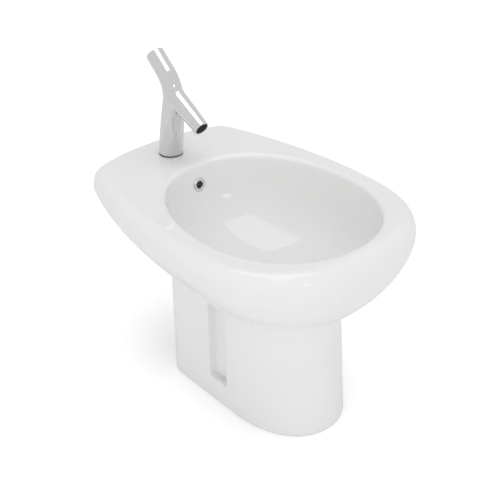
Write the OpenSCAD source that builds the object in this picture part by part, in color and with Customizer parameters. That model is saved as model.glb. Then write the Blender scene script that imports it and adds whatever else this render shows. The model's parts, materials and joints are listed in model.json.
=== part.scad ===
// Floor standing bidet: a hollow china pan with a branch-shaped mixer tap,
// a push-open waste and a bottle trap in the hollow foot.
// Origin on the floor under the middle of the rim, +Z up, the front at -Y, the wall at +Y.

/* [Pan outline] */
// Length of the rim from front to back
pan_l = 570; // [475:5:690]
// Width of the rim where it is widest
pan_w = 422; // [350:2:510]
// Height of the rim above the floor
pan_h = 389; // [370:1:470]
// How far in front of the middle the rim is widest
wide_y = 65; // [45:1:85]
// Squareness of the front half of the rim
front_square = 2.8; // [2.2:0.1:3.5]
// How far the sides draw in towards the back, as a share of half the width
draw_in = 0.33; // [0.25:0.01:0.4]
// Radius of the arched back edge
back_arc_r = 365; // [330:5:600]
// Sharpness of the two back corners
corner_sharp = 28; // [16:1:60]
// Thickness of the china
china_t = 12; // [10:0.5:14]

/* [Rim] */
// Height of the rounded outer edge
edge_drop = 34; // [26:1:40]
// How far the rounded outer edge reaches in over the rim
edge_in = 24; // [16:1:26]
// Rounding of the rim into the bowl, across the rim
lip_in = 10; // [6:1:12]
// Rounding of the rim into the bowl, downwards
lip_drop = 8; // [5:1:10]
// Width of the rim at the front
rim_front_w = 32; // [30:1:40]
// Width of the rim at the sides
rim_side_w = 50; // [44:1:60]
// Length of the deck behind the bowl
deck_l = 152; // [140:1:180]
// Thickness of the deck at the tap
deck_t = 16; // [13:1:20]
// How much deeper the solid rim is where it is narrow
rim_solid = 30; // [20:1:36]

/* [Bowl] */
// Depth of the bowl below the rim
bowl_depth = 149; // [125:1:152]
// Squareness of the bowl's mouth
mouth_square = 2.13; // [2:0.05:2.6]
// Fullness of the bowl between wall and floor
bowl_full = 2.5; // [2.2:0.1:2.7]
// How far the bowl is widest in front of the rim's widest place
bowl_forward = 14; // [5:1:25]
// How far the waste lies behind the widest place of the bowl
waste_back = 19; // [0:1:40]

/* [Hull and foot] */
// Depth of the hull from the shoulder down to the foot
hull_h = 127; // [115:1:140]
// Width of the foot
foot_w = 200; // [190:2:230]
// Setback of the foot from the front of the rim
foot_front_gap = 72; // [60:1:90]
// Setback of the foot from the back of the rim
foot_back_gap = 183; // [165:1:200]
// Thickness of the foot's wall
foot_t = 14; // [12:0.5:16]
// Rounding of the foot's lower edge
foot_edge_r = 5; // [3:0.5:7]
// Roundness of the foot's front, 2 is an ellipse
foot_front_round = 2.15; // [2:0.05:2.5]
// Sharpness of the foot's two back corners
foot_back_sharp = 18; // [12:1:30]
// Fullness of the hull at the front
hull_front = 1.66; // [1.4:0.02:1.8]
// Fullness of the hull at the sides
hull_side = 1.37; // [1.3:0.01:1.6]
// Fullness of the hull at the back
hull_back = 1.21; // [1.15:0.01:1.4]
// How far the foot is widest in front of the rim's widest place
foot_forward = 8.5; // [0:0.5:20]

/* [Openings in the foot] */
// Width of the open back
rear_w = 124; // [100:2:130]
// Corner radius of the open back, under the deck
rear_r = 20; // [10:1:30]
// China left behind the opening under the deck
rear_lip = 23; // [20:1:30]
// Width of each side niche
niche_w = 48; // [40:1:56]
// Depth of each side niche
niche_d = 16; // [14:0.5:20]
// Height of the niche's ledge above the floor
niche_z = 48; // [40:1:60]
// Height of the niche's top above the floor
niche_top = 206; // [180:1:215]
// Rounding of the niche's front upper corner
niche_r = 12; // [6:1:16]
// How far the niches lie behind the middle of the foot
niche_back = 22; // [0:1:30]
// Thickness of the china round each niche
niche_wall = 12; // [8:1:14]
// Radius of the holes for the floor screws, with their bushes out
screw_hole_r = 4.5; // [4:0.1:5.5]

/* [Tap] */
// Distance of the tap's axis from the back edge
tap_back = 75; // [70:1:85]
// Radius of the tap hole
tap_hole_r = 17.5; // [16:0.5:21]
// How far the trunk's foot reaches over the tap hole
trunk_over = 4.5; // [3.5:0.5:7]
// Forward lean of the trunk
tap_lean = 11; // [6:0.5:14]
// Length of the straight trunk
trunk_l = 84; // [76:1:95]
// Radius of the bend and the upper arm
arm_r = 16.8; // [16.4:0.1:20.2]
// Radius of the bend, to its middle line
bend_r = 69; // [64:1:80]
// Rise of the upper arm above level
arm_rise = 41; // [35:1:50]
// Length of the straight neck below the handle
neck_l = 6; // [5:0.5:8]
// Length of the handle on the upper arm
handle_l = 35; // [32:0.5:45]
// Fall of the spout below level
spout_fall = 27.5; // [22:0.5:32]
// Length of the spout from the bend's middle line to its mouth
spout_l = 86.5; // [80:0.5:104]
// Height above the bend's start at which the spout leaves it
spout_up = 29; // [20:0.5:36]
// Radius of the spout at its root
spout_root_r = 18; // [17:0.1:19]
// Radius of the spout at its mouth
spout_end_r = 13.8; // [13.4:0.1:16.6]
// Length of the flow collar
collar_l = 15; // [13:0.5:20]
// Thickness of the flow collar round the mouth's bore
collar_t = 2.3; // [1.8:0.1:3]
// Radius of the two inlet ports for the hose tails
port_r = 5; // [4:0.25:5.5]
// Depth of the inlet ports
port_l = 16; // [12:1:20]
// Radius of the fixing stud
stud_r = 4; // [3:0.5:5]

/* [Waste] */
// Outer radius of the tail's thread
tail_r = 20.9; // [19:0.1:25.1]
// Thickness of the tail's wall
tail_t = 3.7; // [3:0.1:4]
// Length of the tail below the flange
tail_l = 70; // [66:1:80]
// Clear space round the tail in the china's hole, where the overflow water runs
tail_play = 2.1; // [1.5:0.1:3]
// How far the flange reaches over the waste hole
flange_over = 8.5; // [7:0.5:12]
// Travel of the plug
plug_travel = 9; // [6:1:11]
// Radius of the plug's stem
stem_r = 4; // [3.5:0.25:4.5]

/* [Overflow] */
// Height of the overflow below the rim
overflow_drop = 42; // [36:1:50]
// Radius of the overflow hole in the china
overflow_r = 10; // [9:0.5:12]
// How far the trim ring reaches over the overflow hole
ring_over = 2.5; // [2:0.5:4]
// Height of the overflow channel behind the bowl
duct_h = 12; // [10:1:16]
// Width of the overflow channel
duct_w = 28; // [24:1:34]
// Thickness of the china round the overflow channel
duct_t = 7; // [6:0.5:9]

/* [Trap] */
// Outer radius of the dip tube and the outlet pipe
pipe_r = 16; // [13.5:0.5:19.2]
// Length of the outlet pipe behind the foot
pipe_out = 48; // [40:1:60]
// How far the outlet pipe goes into the wall's socket
pipe_in_wall = 40; // [30:1:50]
// Wall of the trap's tubes
tube_t = 2; // [1.5:0.25:2.5]
// Clear space between the dip tube and the trap's head
head_play = 11; // [8:0.5:15]
// Depth of the trap's cup
cup_l = 62; // [55:1:75]

/* [Clearances] */
// Radial clearance of a running fit
run_gap = 0.06; // [0.03:0.01:0.1]
// Gap between separate pieces that don't touch
gap = 0.3; // [0.2:0.05:0.5]
// Radial clearance of a thread or a push fit
thread_gap = 0.1; // [0.05:0.01:0.15]

/* [Hidden] */
$fn = 64;

// Finishes
china = [0.93, 0.93, 0.92];
chrome = [0.78, 0.79, 0.81];
brass = [0.76, 0.62, 0.34];
rubber = [0.12, 0.12, 0.13];
white_plastic = [0.9, 0.9, 0.9];
grey_plastic = [0.5, 0.51, 0.52];
steel = [0.62, 0.63, 0.65];

// Places worked out from the outline
front_y = -pan_l / 2;
back_y = pan_l / 2;
half_w = pan_w / 2;
front_reach = pan_l / 2 - wide_y;
back_reach = pan_l / 2 + wide_y;
shoulder_z = pan_h - edge_drop;
foot_top_z = shoulder_z - hull_h;
mouth_y = -wide_y - bowl_forward;
mouth_half_w = half_w - rim_side_w;
mouth_front = mouth_y - front_y - rim_front_w;
mouth_back = back_y - deck_l - mouth_y;
floor_z = pan_h - bowl_depth;
bowl_h = bowl_depth - lip_drop;
waste_y = mouth_y + waste_back;
waste_reach = mouth_back - waste_back;
foot_front_y = front_y + foot_front_gap;
foot_back_y = back_y - foot_back_gap;
foot_wide_y = -wide_y - foot_forward;
deck_under_z = pan_h - deck_t;

// ---- Pan: a bowl and a shell that are cast apart and stuck together under the rim. The ----
// ---- bowl's loft runs from the waste up to the rim and back underneath; the shell's     ----
// ---- goes round the rim, hull and foot and back up inside. Both share the seam's rings  ----

// Column angles, closer together at the two back corners
sectors = [[0, 50, 8], [50, 78, 9], [78, 102, 4], [102, 130, 9], [130, 180, 8], [180, 360, 28]];
angles = [for (s = sectors) for (i = [0 : s[2] - 1]) s[0] + (s[1] - s[0]) * i / s[2]];
columns = len(angles);

// Polar radius of an oval with half axes rx and ry and squareness n
function oval_r(a, rx, ry, n) =
    pow(pow(abs(cos(a)) / rx, n) + pow(abs(sin(a)) / ry, n), -1 / n);

// Back half of the rim: the drawn-in side and the arched back, met by a rounded corner
function rim_back_r(a) =
    let (c = abs(cos(a)), s = sin(a),
         side = 2 * half_w / (c + sqrt(c * c + 4 * draw_in * pow(half_w * s / back_reach, 2))),
         d = back_reach - back_arc_r,
         arc = d * s + sqrt(pow(back_arc_r, 2) - pow(d * c, 2)))
    pow(pow(side, -corner_sharp) + pow(arc, -corner_sharp), -1 / corner_sharp);

function polar(r, a, y0) = [r * cos(a), y0 + r * sin(a)];
rims = [for (a = angles)
    polar(a < 180 ? rim_back_r(a) : oval_r(a, half_w, front_reach, front_square), a, -wide_y)];
mouths = [for (a = angles)
    polar(oval_r(a, mouth_half_w, a < 180 ? mouth_back : mouth_front, mouth_square), a, mouth_y)];
function foot_r(a) = a < 180
    ? oval_r(a, foot_w / 2, foot_back_y - foot_wide_y, foot_back_sharp)
    : oval_r(a, foot_w / 2, foot_wide_y - foot_front_y, foot_front_round);
function foot_line(inset) = [for (a = angles) polar(foot_r(a) - inset, a, foot_wide_y)];
feet = foot_line(0);

// A plan point d away from p on the way to q
function toward(p, q, d) = p + (q - p) * d / norm(q - p);
function at_z(p, z) = [p[0], p[1], z];

// Point of the bowl's curve for a plan reach: out and z at turn t, moved out of the bowl by off
function bowl_curve(reach, t, off) =
    let (k = 2 / bowl_full, s = reach * pow(sin(t), k), z = floor_z + bowl_h * (1 - pow(cos(t), k)))
    off == 0 ? [s, z] :
    let (ds = reach * k * pow(sin(t), k - 1) * cos(t),
         dz = bowl_h * k * pow(cos(t), k - 1) * sin(t),
         n = norm([ds, dz]))
    [s + off * dz / n, z - off * ds / n];
function bowl_ring(t, off) = [for (m = mouths)
    let (p = bowl_curve(norm(m - [0, waste_y]), t, off)) at_z(toward([0, waste_y], m, p[0]), p[1])];

// Width of the rim in each column, and how the lip and the edge share it
rim_ws = [for (j = [0 : columns - 1]) norm(rims[j] - mouths[j])];
function lip_ring(t) = [for (j = [0 : columns - 1])
    let (w = min(lip_in, 0.3 * rim_ws[j]))
    at_z(toward(mouths[j], rims[j], w * (1 - cos(t))), pan_h - lip_drop * (1 - sin(t)))];
function edge_ring(t) = [for (j = [0 : columns - 1])
    let (w = min(edge_in, 0.65 * rim_ws[j]))
    at_z(toward(rims[j], mouths[j], w * (1 - sin(t))), pan_h - edge_drop * (1 - cos(t)))];

// The hull: a quarter oval from the shoulder in to the foot, fuller at the front than at the back
function hull_full(a) =
    let (f = pow(max(-sin(a), 0), 2), b = pow(max(sin(a), 0), 2))
    f * hull_front + b * hull_back + (1 - f - b) * hull_side;
function hull_curve(span, e, t, off) =
    let (k = 2 / e, s = span * pow(cos(t), k), z = shoulder_z - hull_h * pow(sin(t), k))
    off == 0 ? [s, z] :
    let (ds = -span * k * pow(cos(t), k - 1) * sin(t),
         dz = -hull_h * k * pow(sin(t), k - 1) * cos(t),
         n = norm([ds, dz]))
    [s + off * dz / n, z - off * ds / n];
function hull_ring(t, off) = [for (j = [0 : columns - 1])
    let (p = hull_curve(norm(rims[j] - feet[j]), hull_full(angles[j]), t, off))
    at_z(toward(feet[j], rims[j], p[0]), p[1])];
function foot_ring(inset, z) = [for (p = foot_line(inset)) at_z(p, z)];

// Ceiling of the hollow: lower where the rim is narrow, with its corners cut off
wide_rim = 60;
ceiling_cut = 8;
function ceiling_z(w) =
    deck_under_z - rim_solid * min(1, max(0, (wide_rim - w) / (wide_rim - rim_front_w)));
function ceiling_ring(from, to, in, down) = [for (j = [0 : columns - 1])
    let (c = min(ceiling_cut, (rim_ws[j] - 2 * china_t) / 3))
    at_z(toward(from[j], to[j], china_t + in * c), ceiling_z(rim_ws[j]) - down * ceiling_cut)];

// Seam between bowl and shell, from the top of the rim down to the ceiling
seam_rings = [lip_ring(90), ceiling_ring(mouths, rims, 0, 1)];

bowl_steps = 9;
hull_steps = 8;
bowl_rings = concat(
    [for (i = [1 : bowl_steps]) bowl_ring(90 * i / bowl_steps, 0)],
    [for (t = [30, 60]) lip_ring(t)],
    seam_rings,
    [for (t = [74, 62, 50, 38, 26, 14]) bowl_ring(t, china_t)]);
shell_rings = concat(
    seam_rings,
    [ceiling_ring(mouths, rims, 1, 0)],
    [ceiling_ring(rims, mouths, 1, 0), ceiling_ring(rims, mouths, 0, 1)],
    [for (t = [24, 38, 52, 66, 80]) hull_ring(t, china_t)],
    [foot_ring(foot_t, foot_top_z + 2), foot_ring(foot_t, 0)],
    [for (t = [90, 45, 0]) foot_ring(foot_edge_r * (1 - cos(t)), foot_edge_r * (1 - sin(t)))],
    [for (i = [hull_steps : -1 : 0]) hull_ring(90 * i / hull_steps, 0)],
    [for (t = [67.5, 45, 22.5, 0]) edge_ring(t)]);

// Closed skin over rings of equal length, with a pole at each end
module loft(rings, first_pole, last_pole) {
    n = len(rings[0]);
    m = len(rings);
    polyhedron(
        points = concat([first_pole, last_pole], [for (r = rings) each r]),
        faces = concat(
            [for (j = [0 : n - 1]) [0, 2 + (j + 1) % n, 2 + j]],
            [for (i = [0 : m - 2], j = [0 : n - 1])
                let (a = 2 + i * n, b = a + n, k = (j + 1) % n)
                each [[a + j, a + k, b + k], [a + j, b + k, b + j]]],
            [for (j = [0 : n - 1]) [2 + (m - 1) * n + j, 2 + (m - 1) * n + (j + 1) % n, 1]]));
}

// Closed skin over rings that come back to the first one, such as a hollow band
module loft_band(rings) {
    n = len(rings[0]);
    m = len(rings);
    polyhedron(
        points = [for (r = rings) each r],
        faces = [for (i = [0 : m - 1], j = [0 : n - 1])
            let (a = i * n, b = (i + 1) % m * n, k = (j + 1) % n)
            each [[b + k, a + k, a + j], [b + j, b + k, a + j]]]);
}

// Profile of a niche in plan Y and height: square behind, rounded at the front upper corner
niche_y0 = (foot_front_y + foot_back_y) / 2 + niche_back - niche_w / 2;
module niche_face() {
    polygon(concat(
        [[niche_y0 + niche_w, niche_z], [niche_y0 + niche_w, niche_top]],
        [for (t = [0 : 15 : 90])
            [niche_y0 + niche_r * (1 - sin(t)), niche_top - niche_r * (1 - cos(t))]],
        [[niche_y0, niche_z]]));
}
screw_x = foot_w / 2 - niche_d / 2;
screw_y = niche_y0 + niche_w / 2;

// Extrusion along X of a shape drawn in Y and Z, between two places on X
module along_x(x0, x1) {
    translate([x0, 0, 0])
        rotate([90, 0, 90])
            linear_extrude(x1 - x0)
                children();
}

// Heights and radii at the waste, from the tail outwards
waste_hole_r = tail_r + tail_play;
flange_r = waste_hole_r + flange_over;
seat_sink = 2;
seat_z = floor_z - seat_sink;
duct_top = china_t + 1;
duct_under = duct_top + duct_h + duct_t;
boss_z = floor_z - duct_under - 1;
boss_r = flange_r + 5;

// Overflow channel: a band behind the bowl, from the overflow down to the waste hole
duct_turns = [4, 10, 20, 30, 40, 50, 60, 70];
duct_end = 82.5;
function duct_line(off, ts) = [for (t = ts)
    let (p = bowl_curve(waste_reach, t, off)) [waste_y + p[0], p[1]]];
module duct_band(inner, outer, t_top) {
    upper = duct_line(inner, concat(duct_turns, [t_top]));
    lower = duct_line(outer, concat(duct_turns, [t_top]));
    polygon(concat(
        [[waste_y, upper[0][1]]], upper,
        [for (i = [len(lower) - 1 : -1 : 0]) lower[i]], [[waste_y, lower[0][1]]]));
}

// The overflow sits where the bowl's back wall reaches its height
overflow_turn = acos(pow(1 - (bowl_h + lip_drop - overflow_drop) / bowl_h, bowl_full / 2));
overflow_at = bowl_curve(waste_reach, overflow_turn, 0);
overflow_tilt = atan2(
    waste_reach * pow(sin(overflow_turn), 2 / bowl_full - 1) * cos(overflow_turn),
    bowl_h * pow(cos(overflow_turn), 2 / bowl_full - 1) * sin(overflow_turn));
module at_overflow() {
    translate([0, waste_y + overflow_at[0], overflow_at[1]])
        rotate([90 - overflow_tilt, 0, 0])
            children();
}
module at_waste(z) {
    translate([0, waste_y, z])
        children();
}

// Opening in the foot's back and the hull's underside: it follows the underside of the bowl,
// and has two rounded corners in plan under the deck
rear_y0 = foot_back_y - 3 * foot_t;
rear_y1 = back_y - rear_lip;
rear_z1 = deck_under_z - ceiling_cut - 5;
bowl_clear = china_t + 8;
rear_turns = [84, 76, 68, 60, 52, 44, 36];
module rear_side() {
    line = duct_line(bowl_clear, rear_turns);
    polygon(concat(
        [[rear_y0, -1], [rear_y1, -1], [rear_y1, rear_z1]],
        line,
        [[rear_y0, line[len(line) - 1][1] - 2]]));
}
module rear_plan() {
    translate([-rear_w / 2, rear_y0 - 1])
        square([rear_w, rear_y1 - rear_r - rear_y0 + 1]);
    translate([rear_r - rear_w / 2, rear_y0 - 1])
        square([rear_w - 2 * rear_r, rear_y1 - rear_y0 + 1]);
    for (s = [-1, 1])
        translate([s * (rear_w / 2 - rear_r), rear_y1 - rear_r])
            circle(rear_r);
}
module rear_opening() {
    intersection() {
        translate([0, 0, -2])
            linear_extrude(pan_h)
                rear_plan();
        along_x(-rear_w, rear_w)
            rear_side();
    }
}

// China block behind a niche: it starts in the middle of the foot's wall
block_z = 2;
block_x = niche_d + niche_wall - foot_t / 2;
module niche_block() {
    translate([foot_w / 2 - foot_t / 2 - block_x / 2, screw_y,
               (block_z + niche_top + niche_wall) / 2])
        cube([block_x, niche_w + 2 * niche_wall, niche_top + niche_wall - block_z], center = true);
}

tap_y = back_y - tap_back;
ring_sink = 0.6;
module pan_bowl() {
    color(china)
        difference() {
            union() {
                loft(bowl_rings, [0, waste_y, floor_z], [0, waste_y, floor_z - china_t]);
                at_waste(boss_z)
                    cylinder(r = boss_r, h = duct_under + 1 - china_t / 2);
                along_x(-duct_w / 2 - duct_t, duct_w / 2 + duct_t)
                    duct_band(china_t - 4, duct_under, duct_end + 1.5);
            }
            along_x(-duct_w / 2, duct_w / 2)
                duct_band(duct_top, duct_top + duct_h, duct_end);
            at_waste(boss_z - 1)
                cylinder(r = waste_hole_r, h = duct_under + 10);
            at_waste(seat_z)
                cylinder(r = flange_r + 1.5, h = 20);
            at_overflow() {
                translate([0, 0, -duct_top - duct_h / 2])
                    cylinder(r = overflow_r, h = duct_top + duct_h);
                translate([0, 0, -ring_sink])
                    cylinder(r = overflow_r + ring_over + 0.5, h = 10);
            }
        }
}
module pan_shell() {
    color(china)
        difference() {
            union() {
                difference() {
                    loft_band(shell_rings);
                    rear_opening();
                }
                for (s = [0, 1])
                    mirror([s, 0, 0])
                        niche_block();
            }
            translate([0, tap_y, deck_under_z - 1])
                cylinder(r = tap_hole_r, h = deck_t + 2);
            for (s = [0, 1])
                mirror([s, 0, 0]) {
                    along_x(foot_w / 2 - niche_d, foot_w / 2 + 10)
                        niche_face();
                    translate([screw_x, screw_y, -1])
                        cylinder(r = screw_hole_r, h = niche_z + 2);
                }
        }
}

// Bush in each screw hole: a flanged sleeve that stands on the ledge
bush_t = 1.3;
bush_l = 38;
bush_rim = 2.5;
bush_head = 2.2;
module fixing_bushes() {
    color(white_plastic)
        for (s = [-1, 1])
            translate([s * screw_x, screw_y, niche_z])
                rotate_extrude()
                    polygon([
                        [screw_hole_r - thread_gap - bush_t, -bush_l],
                        [screw_hole_r - thread_gap, -bush_l],
                        [screw_hole_r - thread_gap, 0],
                        [screw_hole_r + bush_rim, 0],
                        [screw_hole_r + bush_rim, bush_head - 0.8],
                        [screw_hole_r + bush_rim - 0.8, bush_head],
                        [screw_hole_r - thread_gap - bush_t, bush_head]]);
}

// Trim ring in the overflow: a rounded flange with a sleeve
ring_t = 3;
module overflow_ring() {
    bore = overflow_r - ring_t;
    out = overflow_r + ring_over;
    color(chrome)
        at_overflow()
            rotate_extrude()
                polygon([
                    [bore, 2 - china_t], [overflow_r - thread_gap, 2 - china_t],
                    [overflow_r - thread_gap, -ring_sink], [out, -ring_sink],
                    [out, 0.6], [out - 0.8, 1.6], [overflow_r, 2.2], [bore + 0.8, 1.8], [bore, 0.8]]);
}

// ---- Tap: a trunk that leans forward, a bend, an upper arm and a spout ----

base_ring_h = 1.6;
tap_z = pan_h;
trunk_r = tap_hole_r + trunk_over;
dir_trunk = [-sin(tap_lean), cos(tap_lean)];
dir_arm = [cos(arm_rise), sin(arm_rise)];
dir_spout = [-cos(spout_fall), -sin(spout_fall)];
bend_turn = 90 - arm_rise + tap_lean;
bend_start = [tap_y, tap_z] + trunk_l * dir_trunk;
bend_mid = bend_start + bend_r * [cos(tap_lean), sin(tap_lean)];
neck_start = bend_mid - bend_r * [sin(arm_rise), -cos(arm_rise)];
handle_start = neck_start + (neck_l + gap) * dir_arm;
spout_z = bend_start[1] + spout_up;
spout_root = [bend_mid[0] - sqrt(pow(bend_r, 2) - pow(spout_z - bend_mid[1], 2)), spout_z];
spout_mouth = spout_root + spout_l * dir_spout;
fixed_spout_l = spout_l - collar_l - gap;

// Puts a child whose axis is +Z at a place in the Y-Z plane, along a direction in that plane
module on_axis(at, dir) {
    translate([0, at[0], at[1]])
        rotate([-atan2(dir[0], dir[1]), 0, 0])
            children();
}
module at_arm() {
    on_axis(neck_start, dir_arm)
        children();
}
module at_handle() {
    on_axis(handle_start, dir_arm)
        children();
}
module at_mouth() {
    on_axis(spout_mouth, dir_spout)
        children();
}

// Trunk radius along its axis: it narrows slowly at the deck and faster towards the bend.
// Trunk and neck run a little way into the bend, a hair thinner than it.
trunk_power = 2.2;
trunk_steps = 9;
bend_step = 0.1;
trunk_top_r = arm_r - bend_step;
function trunk_at(s) =
    trunk_top_r + (trunk_r - trunk_top_r) * (1 - pow(max(0, s) / trunk_l, trunk_power));
function spout_at(s) = spout_root_r + (spout_end_r - spout_root_r) * s / spout_l;

// Inner parts of the upper arm
cart_r = 12.3;
cart_depth = 16;
cart_neck_r = 8;
cart_top = neck_l + 3;
cart_nut_h = 4;
spindle_r = 4;
spindle_in = 7;
handle_skin = 2.4;
handle_cavity = 16;
hub_bore = 12;
handle_round = 2.5;
grub_r = 2;
grub_at = handle_cavity + 6;

// Inner parts of the spout's mouth
mouth_r = spout_end_r - collar_t;
tube_r = mouth_r - 1.6;
tube_bore_r = tube_r - 2.9;
tube_in = 20;
waterway_r = 5;
collar_bore_l = 9;
groove_r = tube_r - 1.6;
groove_w = 1.8;
grooves = [0.6, 3.4];
mouth_insert = 4;

// Ports and stud in the tap's base
stud_y = -9;
stud_in = 12;
port_x = 8.5;
port_y = 4;

module tap_outer() {
    intersection() {
        on_axis([tap_y, tap_z], dir_trunk)
            rotate_extrude($fn = 96)
                polygon(concat(
                    [[0, -10], [trunk_r, -10]],
                    [for (i = [0 : trunk_steps])
                        let (s = i * trunk_l / trunk_steps) [trunk_at(s), s]],
                    [[trunk_top_r, trunk_l + 2], [0, trunk_l + 2]]));
        translate([-2 * trunk_r, tap_y - trunk_l, tap_z + base_ring_h])
            cube([4 * trunk_r, 2 * trunk_l, 2 * trunk_l]);
    }
    translate([0, bend_mid[0], bend_mid[1]])
        rotate([90, 0, 90])
            rotate([0, 0, 90 + arm_rise])
                rotate_extrude(angle = bend_turn, $fn = 96)
                    translate([bend_r, 0])
                        circle(arm_r, $fn = 96);
    at_arm()
        translate([0, 0, -2])
            cylinder(r = arm_r - bend_step, h = neck_l + 2, $fn = 96);
    on_axis(spout_root, dir_spout)
        cylinder(r1 = spout_root_r, r2 = spout_at(fixed_spout_l), h = fixed_spout_l, $fn = 96);
}
module tap_body() {
    color(chrome)
        difference() {
            tap_outer();
            // Seat of the cartridge
            at_arm()
                translate([0, 0, -cart_depth])
                    cylinder(r = cart_r + thread_gap, h = cart_depth + neck_l + 5);
            // Waterway, and the seat of the flow tube
            on_axis(spout_root, dir_spout)
                cylinder(r = waterway_r, h = spout_l);
            at_mouth()
                translate([0, 0, -collar_l - tube_in])
                    cylinder(r = tube_r + thread_gap, h = tube_in + 1);
            // Inlet ports and stud hole in the base
            for (s = [-1, 1])
                translate([s * port_x, tap_y + port_y, tap_z - 1])
                    cylinder(r = port_r, h = base_ring_h + port_l + 1);
            translate([0, tap_y + stud_y, tap_z - 1])
                cylinder(r = stud_r + thread_gap, h = base_ring_h + stud_in + 2);
        }
}

// Flat seal between the tap and the deck, set in a little from the tap's edge
module tap_base_ring() {
    color(rubber)
        translate([0, tap_y, tap_z])
            difference() {
                cylinder(r = trunk_r - 0.4, h = base_ring_h);
                translate([0, 0, -1])
                    cylinder(r = tap_hole_r, h = base_ring_h + 2);
            }
}

// Temperature handle: a hollow end to the upper arm with a hub for the spindle
module temp_handle() {
    color(chrome)
        at_handle()
            difference() {
                rotate_extrude($fn = 96)
                    polygon(concat(
                        [[0, 0], [arm_r - 0.4, 0], [arm_r, 0.4]],
                        [for (t = [0 : 15 : 90])
                            [arm_r - handle_round * (1 - cos(t)),
                             handle_l - handle_round * (1 - sin(t))]],
                        [[0, handle_l]]));
                translate([0, 0, -1])
                    cylinder(r = arm_r - handle_skin, h = handle_cavity + 1);
                cylinder(r = spindle_r + 0.02, h = handle_cavity + hub_bore);
                translate([0, 0, grub_at])
                    rotate([-90, 0, 0])
                        cylinder(r = grub_r + thread_gap, h = arm_r + 1);
            }
}

// The handle's grub screw, on the side turned down and back
module handle_screw() {
    color(steel)
        at_handle()
            translate([0, spindle_r + 0.1, grub_at])
                rotate([-90, 0, 0])
                    difference() {
                        cylinder(r = grub_r, h = 9);
                        translate([0, 0, 6.5])
                            cylinder(r = 1.15, h = 3, $fn = 6);
                    }
}
module temp_spindle() {
    color(brass)
        at_arm()
            translate([0, 0, -spindle_in])
                cylinder(r = spindle_r,
                         h = spindle_in + neck_l + gap + handle_cavity + hub_bore - 1);
}
module temp_cartridge() {
    bore = spindle_r + run_gap;
    low = 0.2 - cart_depth;
    color(white_plastic)
        at_arm()
            rotate_extrude()
                polygon([
                    [bore, -spindle_in - 0.5], [0, -spindle_in - 0.5], [0, low], [cart_r, low],
                    [cart_r, 1], [cart_neck_r, 1], [cart_neck_r, cart_top], [bore, cart_top]]);
}
module cartridge_nut() {
    color(brass)
        at_arm()
            difference() {
                union() {
                    translate([0, 0, 1])
                        cylinder(r = cart_r, h = neck_l);
                    translate([0, 0, neck_l])
                        cylinder(r = cart_r - 0.5, h = cart_nut_h, $fn = 6);
                }
                cylinder(r = cart_neck_r + thread_gap, h = neck_l + cart_nut_h + 2);
            }
}

// Flow collar: the mouth of the spout, turning on the flow tube
module flow_collar() {
    inner = tube_r + run_gap;
    color(chrome)
        at_mouth()
            rotate_extrude($fn = 96)
                polygon([
                    [inner, -collar_l], [spout_at(spout_l - collar_l) - 0.3, -collar_l],
                    [spout_at(spout_l - collar_l + 0.3), 0.3 - collar_l], [spout_end_r, -0.9],
                    [spout_end_r - 0.8, 0], [mouth_r + 0.5, 0], [mouth_r, -0.5],
                    [mouth_r, -collar_bore_l], [inner, -collar_bore_l]]);
}

// Jet former pressed into the collar, with rings of small holes
module outlet_insert() {
    pitch = mouth_r / 4;
    color(grey_plastic)
        at_mouth()
            translate([0, 0, 0.1 - collar_bore_l])
                difference() {
                    cylinder(r = mouth_r - 0.05, h = collar_bore_l - mouth_insert);
                    for (ring = [1 : 3], i = [0 : 6 * ring - 1])
                        rotate([0, 0, 60 / ring * i])
                            translate([pitch * ring, 0, -1])
                                cylinder(r = 0.3 * pitch, h = collar_bore_l, $fn = 16);
                }
}

// Tube screwed into the spout; the collar turns on it over two O-rings
module flow_tube() {
    start = 0.5 - collar_l - tube_in;
    color(brass)
        at_mouth()
            rotate_extrude()
                polygon(concat(
                    [[tube_bore_r, start], [tube_r, start]],
                    [for (g = grooves) each [
                        [tube_r, g - collar_l], [groove_r, g - collar_l],
                        [groove_r, g + groove_w - collar_l], [tube_r, g + groove_w - collar_l]]],
                    [[tube_r, -collar_bore_l - gap], [tube_bore_r, -collar_bore_l - gap]]));
}
module flow_orings() {
    section = (tube_r - groove_r) / 2 - 0.04;
    color(rubber)
        at_mouth()
            for (g = grooves)
                translate([0, 0, g + groove_w / 2 - collar_l])
                    rotate_extrude()
                        translate([groove_r + section, 0])
                            circle(section, $fn = 24);
}

// Fixing of the tap under the deck: a stud, a rubber and a steel horseshoe, and a nut
washer_r = tap_hole_r + 7.5;
washer_h = 3;
plate_h = 2.5;
stud_nut_h = 6.5;
stud_below = 22;
module tap_stud() {
    color(steel)
        translate([0, tap_y + stud_y, deck_under_z - stud_below])
            cylinder(r = stud_r, h = stud_below + deck_t + base_ring_h + stud_in);
}
module horseshoe(h) {
    difference() {
        cylinder(r = washer_r, h = h);
        translate([-port_x - 7, port_y - 7.5, -1])
            cube([2 * port_x + 14, washer_r + 10, h + 2]);
        translate([0, stud_y, -1])
            cylinder(r = stud_r + gap, h = h + 2);
    }
}
module stud_washer() {
    color(rubber)
        translate([0, tap_y, deck_under_z - washer_h])
            horseshoe(washer_h);
}
module stud_plate() {
    color(steel)
        translate([0, tap_y, deck_under_z - washer_h - plate_h])
            horseshoe(plate_h);
}
module stud_nut() {
    color(brass)
        translate([0, tap_y + stud_y, deck_under_z - washer_h - plate_h - stud_nut_h])
            difference() {
                cylinder(r = stud_r + 3.5, h = stud_nut_h, $fn = 6);
                translate([0, 0, -1])
                    cylinder(r = stud_r + thread_gap, h = stud_nut_h + 2);
            }
}

// ---- Waste: a flanged body with a slotted tail, a gasket and nut under the china, a plug ----

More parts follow.
